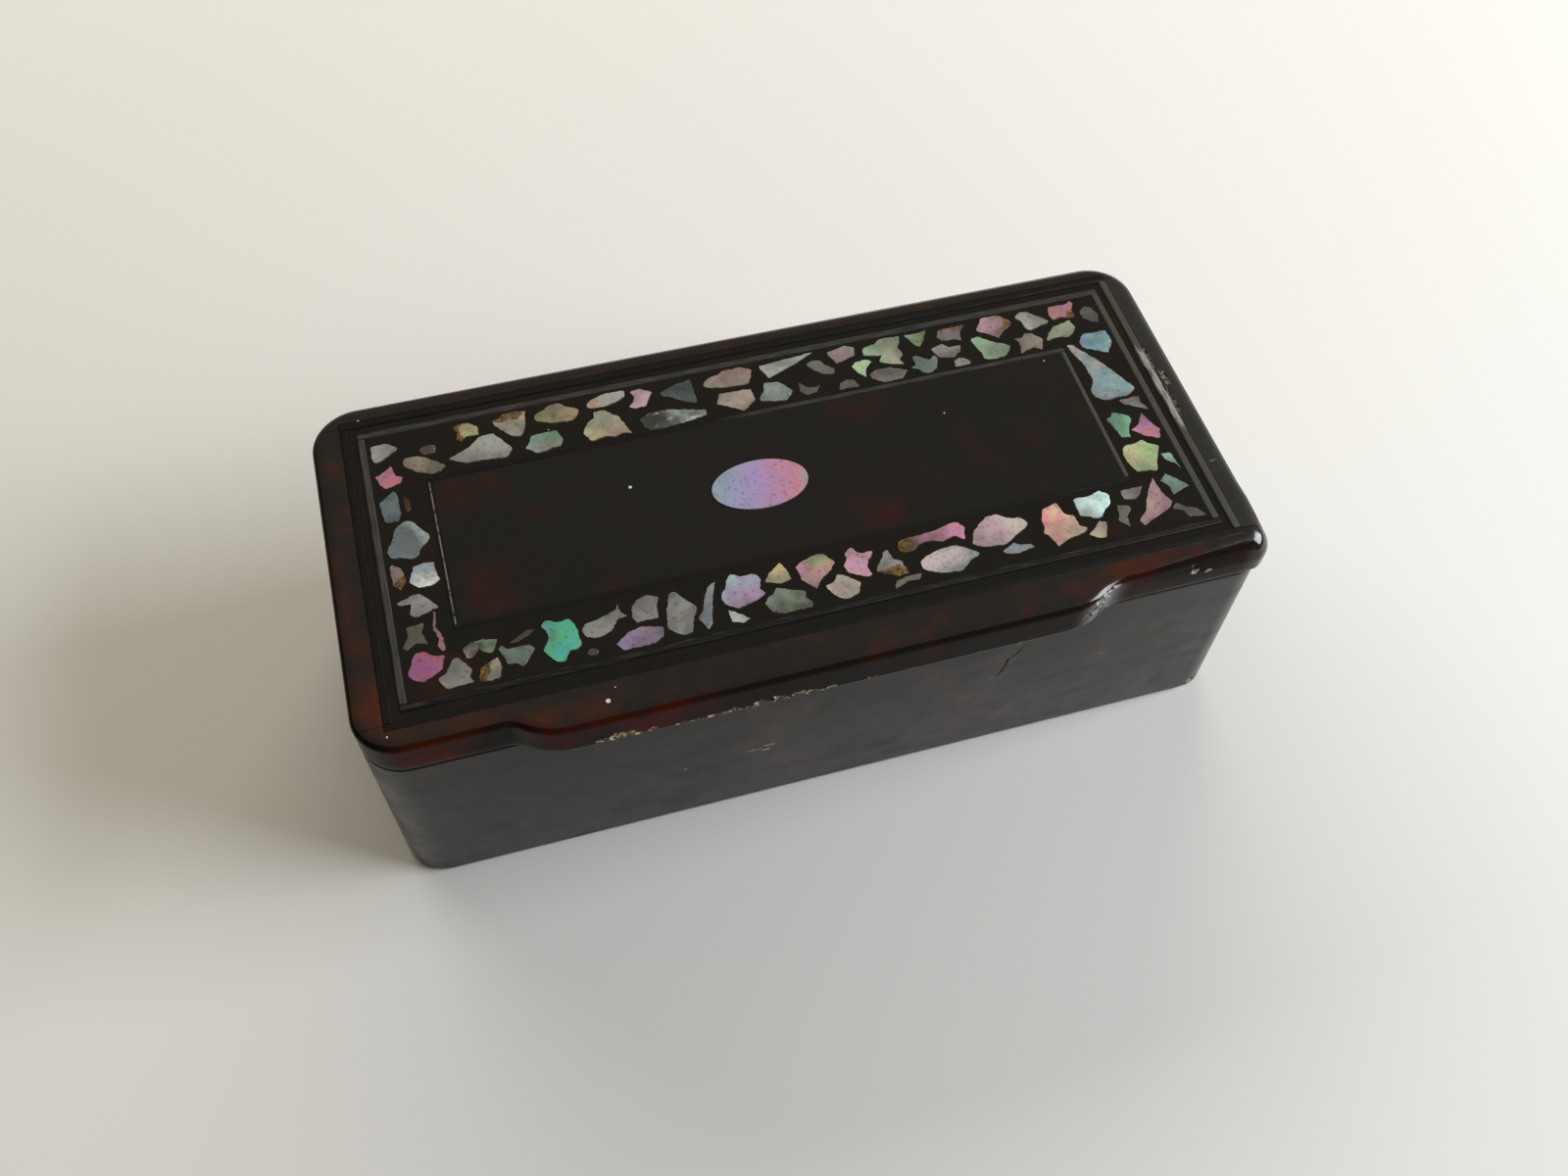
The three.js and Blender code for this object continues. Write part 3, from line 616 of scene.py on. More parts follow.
def shell(name, centre, size, colors, turn, brown, film, seed, cloud, uneven):
    """Nacre: colours drift across the flake, with soft pearly clouds and brown stains.

    `colors` run across `size` millimetres in the direction `turn`; `brown`, where not empty, is
    a direction from which a brown outer layer covers the flake, and how much of it. `cloud` adds
    milky clouds and `uneven` is how far the colours stray from a plain run.
    """
    s = Surface(name)
    place = s.scaled((1, 1, 1), 0, (-seed, seed * 2, 0))
    warp = s.noise(0.55, 3, 0.55, place)
    fine = s.noise(2.6, 4, 0.6)

    def run(direction):
        """Goes from -0.5 to 0.5 across the flake in a direction."""
        spot = s.scaled((1 / size, 1 / size, 0), -direction, (*centre, 0))
        return s.node("SeparateXYZ", {0: spot}).outputs["X"]

    drift = s.add(run(turn), 0.5)
    drift = s.add(drift, s.span(warp, 0.25, 0.75, -0.35 * uneven, 0.35 * uneven))
    drift = s.add(drift, s.span(fine, 0.25, 0.75, -0.06 * uneven, 0.06 * uneven), clamp=True)
    color = s.ramp(drift, [(i / (len(colors) - 1), color) for i, color in enumerate(colors)])
    tint = s.noise(0.75, 2, 0.5, place, 0.6)
    glow = s.noise(0.3, 2, 0.5, s.scaled((1.0, 0.5, 1.0), 30 + 47 * seed), 0.5)
    color = s.node("HueSaturation", {
        "Hue": s.span(tint, 0.3, 0.7, 0.5 - 0.045 * uneven, 0.5 + 0.045 * uneven),
        "Saturation": s.span(glow, 0.3, 0.7, 0.85, 1.15),
        "Value": s.span(glow, 0.34, 0.66, 1.36 - 0.5 * uneven, 1.36 + 0.34 * uneven),
        "Color": color}).outputs[0]
    color = s.mix(1.0, color, "#f1f4f8", "MULTIPLY")
    if cloud:
        veil = s.noise(0.8, 5, 0.65, s.scaled((0.6, 1.2, 1.0)), 0.5)
        color = s.mix(s.span(veil, 0.5, 0.66, 0.0, cloud), color, "#d9dcd8")
    color = s.mix(s.span(fine, 0.53, 0.7, 0.0, 0.5), color, "#6a6558", "MULTIPLY")
    if brown:
        direction, cover = brown
        edge = s.add(run(direction), s.span(warp, 0.3, 0.7, -0.16, 0.16))
        color = s.mix(s.span(edge, 0.5 - cover - 0.05, 0.5 - cover + 0.05), color,
                      s.mix(s.span(fine, 0.35, 0.65), "#4d3a22", "#80663f"))
    s.set(Base_Color=color, Roughness=s.span(fine, 0.3, 0.7, 0.2, 0.36), IOR=1.55)
    s.set(Coat_Weight=0.4, Coat_Roughness=0.08, Thin_Film_Thickness=film, Thin_Film_IOR=1.4)
    s.bumps((warp, 0.5, 0.1), (glow, 0.12, 0.03), (fine, 0.12, 0.02))
    return s.material


def flake_edge(name):
    """Broken rim of a flake, stained brown by the lacquer around it."""
    s = Surface(name)
    tone = s.noise(1.8, 3, 0.6)
    color = s.ramp(s.span(tone, 0.3, 0.7), [(0, "#2c2017"), (0.5, "#5c4a33"), (1, "#8f8266")])
    s.set(Base_Color=color, Roughness=s.span(tone, 0.3, 0.7, 0.5, 0.3))
    return s.material


PANEL_SPECKS = [(-14.7, 2.8, 0.28), (18.0, 3.8, 0.14), (30.4, 7.8, 0.13)]
GROUND_SPECKS = [(14.9, -8.4, 0.2), (-21.0, 11.9, 0.1), (5.2, 9.8, 0.1)]
FRAME_SPECKS = [(-21.7, -19.8, 0.36), (-39.1, 17.8, 0.18), (-40.9, -18.3, 0.14),
                (36.0, -21.0, 0.16), (-20.8, -18.6, 0.1)]
LACQUER_LID = lacquer("lid_lacquer", dark="#1b1b19", spots=RED_SPOTS, specks=PANEL_SPECKS)
LACQUER_GROUND = lacquer("border_lacquer", dark="#161513", red="#38170f", spots=RED_SPOTS,
                         redness=-0.02, roughness=0.18, dust=0.2, specks=GROUND_SPECKS)
LACQUER_FRAME = lacquer("frame_lacquer", dark="#23211e", red="#4e2318", redness=0.03,
                        spots=[(-40, -14, 8, 9, 0.6), (-30, -20, 14, 3, 0.4),
                               (30, -19, 14, 3, 0.35), (-43, 0, 3, 16, 0.15)],
                        roughness=0.15, scratches=0.7, specks=FRAME_SPECKS)
LACQUER_RUBBED = lacquer("rubbed_lacquer", dark="#2e2d29", red="#3c2a22", redness=-0.05,
                         roughness=0.2, scratches=1.0, dust=0.3)
LACQUER_BODY = lacquer("body_lacquer", dark="#0b0d0a", red="#38180f",
                       spots=[(-6, -20, 8, 6, 0.35), (14, -20, 9, 6, 0.4), (30, -20, 9, 6, 0.3)],
                       roughness=0.3, scratches=0.2, dust=0.15, gloss=0.4, smears=0.8)
INSIDE = inside_lacquer("inside_lacquer")
LACQUER_EDGE = lacquer("edge_lacquer", dark="#1b1613", red="#451208", redness=-0.02,
                       spots=[(-38, -20, 7, 4, 0.9), (-27, -21, 6, 3, 0.6), (-18, -21, 9, 3, 0.8),
                              (30, -20, 5, 4, 0.3)],
                       roughness=0.16, scratches=0.2, gloss=0.1, ior=1.25,
                       polished=[(25.4, -20.9, 3.4, 3.0, 1.0), (42.6, -18.6, 2.6, 2.6, 1.0)])
BRASS = aged_brass("aged_brass")
BOARD = bare_board("bare_board")
EDGE = flake_edge("flake_edge")
RIM = bare_board("plaque_rim", "#b4b6ac", "#8d9088", "#d0d2c8")
CRACK = bare_board("crack_shade", "#2a221a", "#0c0a08")
GOUGE = bare_board("gouged_lacquer", "#55534d", "#1d1b18", "#a8a59c")
# Pale grey breaks painted as a highlight, for chipped facets that catch the lamp.
CHIP_HIGHLIGHT = bare_board("painted_chip_highlight", "#8d8c88", "#1c1a18", "#f4f3ef")

# ---------- body ----------


def wall_section():
    """Closed section of a wall as (inset, height)."""
    foot = [(FOOT_ROUNDING * (1 - s), FOOT_ROUNDING * (1 - c)) for c, s in quarter(ARC)]
    rim = [(RIM_ROUNDING * (1 - c), RIM_HEIGHT - RIM_ROUNDING + RIM_ROUNDING * s)
           for c, s in quarter(ARC // 2)]
    return foot + rim + [(WALL, RIM_HEIGHT), (WALL, 0)]


def knuckle_bars(parity, radius, extra):
    """Every second bar along the hinge line, longer than its place by `extra` at each end."""
    width = 2 * HINGE_HALF_SPAN / KNUCKLES
    starts = [-HINGE_HALF_SPAN + i * width for i in range(parity, KNUCKLES, 2)]
    return [bar_along_x("knuckle", x - extra, x + width + extra, radius) for x in starts]


def with_knuckles(thing, parity):
    """Clears the other board's knuckles, adds every second one and drills them for the pin."""
    carve(thing, knuckle_bars(1 - parity, KNUCKLE_CUT, KNUCKLE_ROOM))
    carve(thing, knuckle_bars(parity, KNUCKLE_RADIUS, -KNUCKLE_SHORT), "UNION")
    reach = HINGE_HALF_SPAN + BORE_OVERHANG
    carve(thing, [bar_along_x("bore", -reach, reach, BORE, sides=20)])


walls = {}
for index, side in enumerate(("front", "right", "rear", "left")):
    mesh = sweep("wall_" + side, wall_path(index), wall_section())
    walls[side] = add_object("body_wall_" + side, mesh, LACQUER_BODY, CRACK, BOARD)

CRACK_LINE = [(19.3, 19.6), (18.9, 18.2), (18.4, 17.2), (17.7, 16.6), (17.5, 15.0), (17.0, 13.7),
              (15.9, 13.2)]
crack = groove("crack", [(x, -HALF_DEPTH + SUNK, z) for x, z in CRACK_LINE],
               CRACK_WIDTH, CRACK_DEPTH, (0, -1, 0))
crack.materials.append(CRACK)
carve(walls["front"], [crack])
# Small losses in the front wall: centre, half sizes.
FRONT_CHIPS = [((41.7, -19.6, 1.3), (0.6, 0.35, 0.5)), ((40.6, -19.8, 0.4), (0.6, 0.4, 0.35)),
               ((-8.2, -19.8, 10.3), (0.9, 0.14, 0.12)), ((-6.5, -19.8, 10.7), (0.7, 0.14, 0.14)),
               ((-7.1, -19.8, 9.9), (0.5, 0.12, 0.08)), ((28.4, -19.8, 13.1), (0.18, 0.12, 0.14)),
               ((-15.3, -19.8, 9.8), (0.16, 0.1, 0.12))]
for seed, (centre, radii) in enumerate(FRONT_CHIPS):
    break_out(walls["front"], centre, radii, seed, SMOOTHER, BOARD)
with_knuckles(walls["rear"], 0)
for side, thing in walls.items():
    smooth(thing)
    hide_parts("wall_" + side)
    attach(thing, "body")

# ---------- lid ----------


def corner_relief(x0, x1):
    """Room under a rear corner of the lid, so that it swings clear of the wall."""
    behind = HALF_DEPTH - HINGE_Y
    back = behind + 1
    c, s = math.cos(LID_SWING), math.sin(LID_SWING)
    profile = [(0, -1), (0, 0), (behind * c, behind * s), (back, (behind - back * c) / s),
               (back, -1)]
    points = [(x, HINGE_Y + y, RIM_HEIGHT + z) for x in (x0, x1) for y, z in profile]
    return rings("relief", points, len(profile))


lid_edge = lid_outline()
lower_edge = [(LID_FOOT_ROUNDING * (1 - s), RIM_HEIGHT + LID_FOOT_ROUNDING * (1 - c))
              for c, s in quarter(ARC // 2)]
side_layers = [(0, FRAME_BASE - LAYER_STEP * i) for i in range(SIDE_LAYERS, -1, -1)]
board = add_object("lid_body", lid_loft("lid_body", lid_edge, lower_edge + side_layers),
                   LACQUER_EDGE, BOARD, LACQUER_BODY, CHIP_HIGHLIGHT)
carve(board, [slab("plateau", -STRING_X, STRING_X, -STRING_Y, STRING_Y, PLATEAU_BASE, INLAY_BASE)],
      "UNION")
for x0, x1 in ((-HALF_LENGTH - 1, -HINGE_HALF_SPAN), (HINGE_HALF_SPAN, HALF_LENGTH + 1)):
    carve(board, [corner_relief(x0, x1)])
# Losses along the lower edge of the lip: X of the middle, half length, half height.
LIP_CHIPS = [(-22.7, 0.7, 0.6), (-21.5, 0.6, 0.95), (-20.5, 0.6, 0.8), (-19.3, 0.45, 0.4),
             (-18.2, 0.5, 0.6), (-15.4, 0.6, 0.35), (-14.1, 0.7, 0.3), (-12.2, 0.9, 0.4),
             (-10.6, 0.8, 0.55), (-9.3, 0.5, 0.3), (-7.9, 0.9, 0.65), (-6.3, 0.8, 0.8),
             (-4.7, 1.0, 0.65), (-3.0, 0.8, 0.5), (-1.4, 0.8, 0.4), (2.6, 0.6, 0.35),
             (6.4, 0.4, 0.3), (13.1, 0.4, 0.3), (17.3, 0.3, 0.25)]
for seed, (x, long, high) in enumerate(LIP_CHIPS):
    middle = (x, SUNK - LIP_FRONT, RIM_HEIGHT + CHIP_RISE + 0.4 * high)
    break_out(board, middle, (long, CHIP_DEPTH, high), seed, ROUGHER, BOARD)
# Rubbed dents down the right S curve and beside it, their breaks painted pale as a highlight:
# centre, half sizes.
LIP_DENTS = [((23.9, -21.5, 24.7), (0.6, 0.25, 0.45)), ((24.7, -21.2, 25.1), (0.6, 0.28, 0.6)),
             ((25.5, -20.8, 25.2), (0.6, 0.28, 0.55)), ((26.2, -20.45, 25.5), (0.5, 0.25, 0.35)),
             ((35.4, -19.8, 25.2), (0.5, 0.2, 0.3)), ((37.0, -19.8, 24.9), (0.4, 0.2, 0.25))]
for seed, (centre, radii) in enumerate(LIP_DENTS):
    break_out(board, centre, radii, seed, ROUGHER, CHIP_HIGHLIGHT)
with_knuckles(board, 1)
smooth(board)
paint_faces(board, lambda middle, normal: middle.z < UNDERSIDE and normal.z < LOOKS_DOWN)
paint_faces(board, lambda middle, normal: middle.y > HINGE_Y - KNUCKLE_RADIUS)
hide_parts("lid_board")
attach(board, "lid")

frame_layers = [(0, FRAME_BASE + (LID_TOP - FRAME_BASE) * s) for c, s in quarter(2 * ARC)]
far = HALF_LENGTH + 5
STRIPS = {
    "front": (-far, far, -far, -SEAM_Y),
    "rear": (-far, far, SEAM_Y, far),
    "left": (-far, 0, -SEAM_Y + SEAM_GAP, SEAM_Y - SEAM_GAP),
    "right": (0, far, -SEAM_Y + SEAM_GAP, SEAM_Y - SEAM_GAP),
}
# Losses in the frame: what they show, centre and half sizes. The pale breaks on the front are a
# painted highlight.
FRAME_LOSSES = {
    "right": [(GOUGE, (41.2, 5.0, 27.0), (0.2, 1.9, 0.16)),
              (GOUGE, (41.7, 2.4, 27.0), (0.35, 1.0, 0.16)),
              (GOUGE, (41.3, -1.0, 27.0), (0.25, 2.2, 0.16)),
              (GOUGE, (41.9, -8.9, 27.05), (0.9, 0.08, 0.2))],
    "front": [(CHIP_HIGHLIGHT, (25.0, -21.15, 26.2), (0.6, 0.3, 0.45)),
              (CHIP_HIGHLIGHT, (26.0, -20.7, 26.4), (0.7, 0.35, 0.45)),
              (CHIP_HIGHLIGHT, (27.1, -20.2, 26.5), (0.7, 0.35, 0.35)),
              (CHIP_HIGHLIGHT, (36.1, -19.9, 26.1), (0.8, 0.35, 0.3)),
              (CRACK, (34.9, -19.85, 26.0), (0.4, 0.3, 0.3)),
              (CRACK, (37.2, -19.85, 25.9), (0.5, 0.3, 0.35))],
}
for side, (x0, x1, y0, y1) in STRIPS.items():
    top = LACQUER_RUBBED if side == "right" else LACQUER_FRAME
    strip = add_object("lid_frame_" + side, lid_loft("strip", lid_edge, frame_layers),
                       top, BOARD, LACQUER_EDGE)
    carve(strip, [slab("field", -STRING_X, STRING_X, -STRING_Y, STRING_Y, *CLEAR)])
    carve(strip, [slab("span", x0, x1, y0, y1, *CLEAR)], "INTERSECT")
    for kind, centre, radii in FRAME_LOSSES.get(side, ()):
        break_out(strip, centre, radii, centre[0], SMOOTHER, kind)
    smooth(strip)
    paint_faces(strip, lambda middle, normal: normal.z < TOP_FACE)
    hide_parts("frame_" + side)
    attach(strip, "lid")


def dress(name, *materials, edge=0.0, edge_material=-1, segments=2):
    """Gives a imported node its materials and, where asked, a small bevel."""
    thing = nodes[name]
    thing.data.materials.clear()
    for material in materials:
        thing.data.materials.append(material)
    if edge:
        bevel(thing, edge, segments, material=edge_material, weld=True)
    return thing


dress("floor_board", INSIDE, edge=0.15)
dress("lid_inner_panel", INSIDE, edge=0.15)
dress("hinge_pin", BRASS)
dress("dark_fillet", LACQUER_GROUND, edge=0.04)
dress("border_ground", LACQUER_GROUND, edge=0.02, segments=1)
dress("centre_panel", LACQUER_LID, edge=0.05)
# How grey each string is, by side. The high values on the right stand partly for wear and partly for
# a painted sheen from the lamp on that side.
GREY = {
    "string_outer": {"front": 0.2, "rear": 0.3, "left": 0.15, "right": 0.85},
    "string_inner": {"front": 0.4, "rear": 0.55, "left": 0.6, "right": 0.8},
    "string_panel": {"front": 0.0, "rear": 0.55, "left": 0.0, "right": 0.8},
}
# Bruises on the right outer string, beside the gouge in the frame.
STRING_SCUFFS = [(40.5, 5.6, 0.8, 2.4, 1.0), (40.9, 1.6, 0.8, 3.4, 1.0),
                 (40.8, -2.4, 0.6, 3.0, 0.7)]
for ring, amounts in GREY.items():
    for side, amount in amounts.items():
        here = (ring, side)
        surface = stringing(
            f"{ring}_{side}_grey_tone", amount, 90 if side in ("left", "right") else 0,
            fade=(-6, 2) if here == ("string_panel", "rear") else None,
            scuffs=STRING_SCUFFS if here == ("string_outer", "right") else (),
            highlight_line=-33.4 if here == ("string_panel", "left") else None)
        faint = amount < 0.15
        dress(f"{ring}_{side}", surface, edge=0.05 if faint else 0.12, segments=3)

# ---------- shell flakes ----------

# Flakes with a solid of their own: colours and, on some, the direction they run in, the side
# that a brown layer covers and how much of the flake it takes. Directions are in degrees.
SOLID_FLAKES = {
    "rear_01": ("#8f8f86 #7f8077",),
    "rear_02": ("#7c7a6c #86837a #8a8b84",),
    "rear_03": ("#8f8878 #8a8376", 0, 100, 0.28),
    "rear_04": ("#6c634c #7e6f58 #82765f",),
    "rear_05": ("#8f907f #86958a #74957f", 90),
    "rear_06": ("#9a8270 #a29f96 #a5a39c",),
    "rear_07": ("#a08f74 #8e8a70 #757c6c", 90),
    "rear_08": ("#757165 #87786e #9a817b",),
    "rear_09": ("#887970 #8b847a", 90),
    "rear_10": ("#8c8d81 #93948a",),
    "rear_11": ("#7a7e7a #878b87", 40),
    "rear_12": ("#a9947e #86907a #6c8c6c", 120),
    "rear_13": ("#917b7f #967a7c #7c6a5c", 0, 0, 0.24),
    "rear_14": ("#7e9c7e #879c7c #7b9580", 20),
    "rear_15": ("#8d8c84 #94948c", 60),
    "rear_16": ("#b6757c #ad757a #8a6a5a", -15, -30, 0.22),
    "right_01": ("#7f7a9a #6b8e96 #86a39c #90aa9e", -40),
    "right_02": ("#8a898c #6b8a8a #82878a #96918e #979390", 90),
    "right_03": ("#a6a27b #9aa47c #8fa979",),
    "front_01": ("#908073 #96797a #9b7b7b", 40),
    "front_02": ("#9aa49f #b4c9c3 #d5fdf8", 25),
    "front_03": ("#c09182 #bc9a88 #b7a68e",),
    "front_04": ("#b8939b #b0969a #a49d92",),
    "front_05": ("#5c3e2a #a0686c #b37c92 #b07a8c", 0, 180, 0.27),
    "front_06": ("#b1a09f #a39b98 #7f8981",),
    "front_07": ("#b08a96 #ad8590", 30),
    "front_08": ("#957d91 #92889c #879f98", 120),
    "front_09": ("#7b7c7c #868178 #767a7a", 90),
    "front_10": ("#4f8e78 #57987f #55947e", 60),
    "front_11": ("#835570 #8c5a74 #895262",),
    "left_01": ("#7b8589 #747a76 #858b88", 60),
}

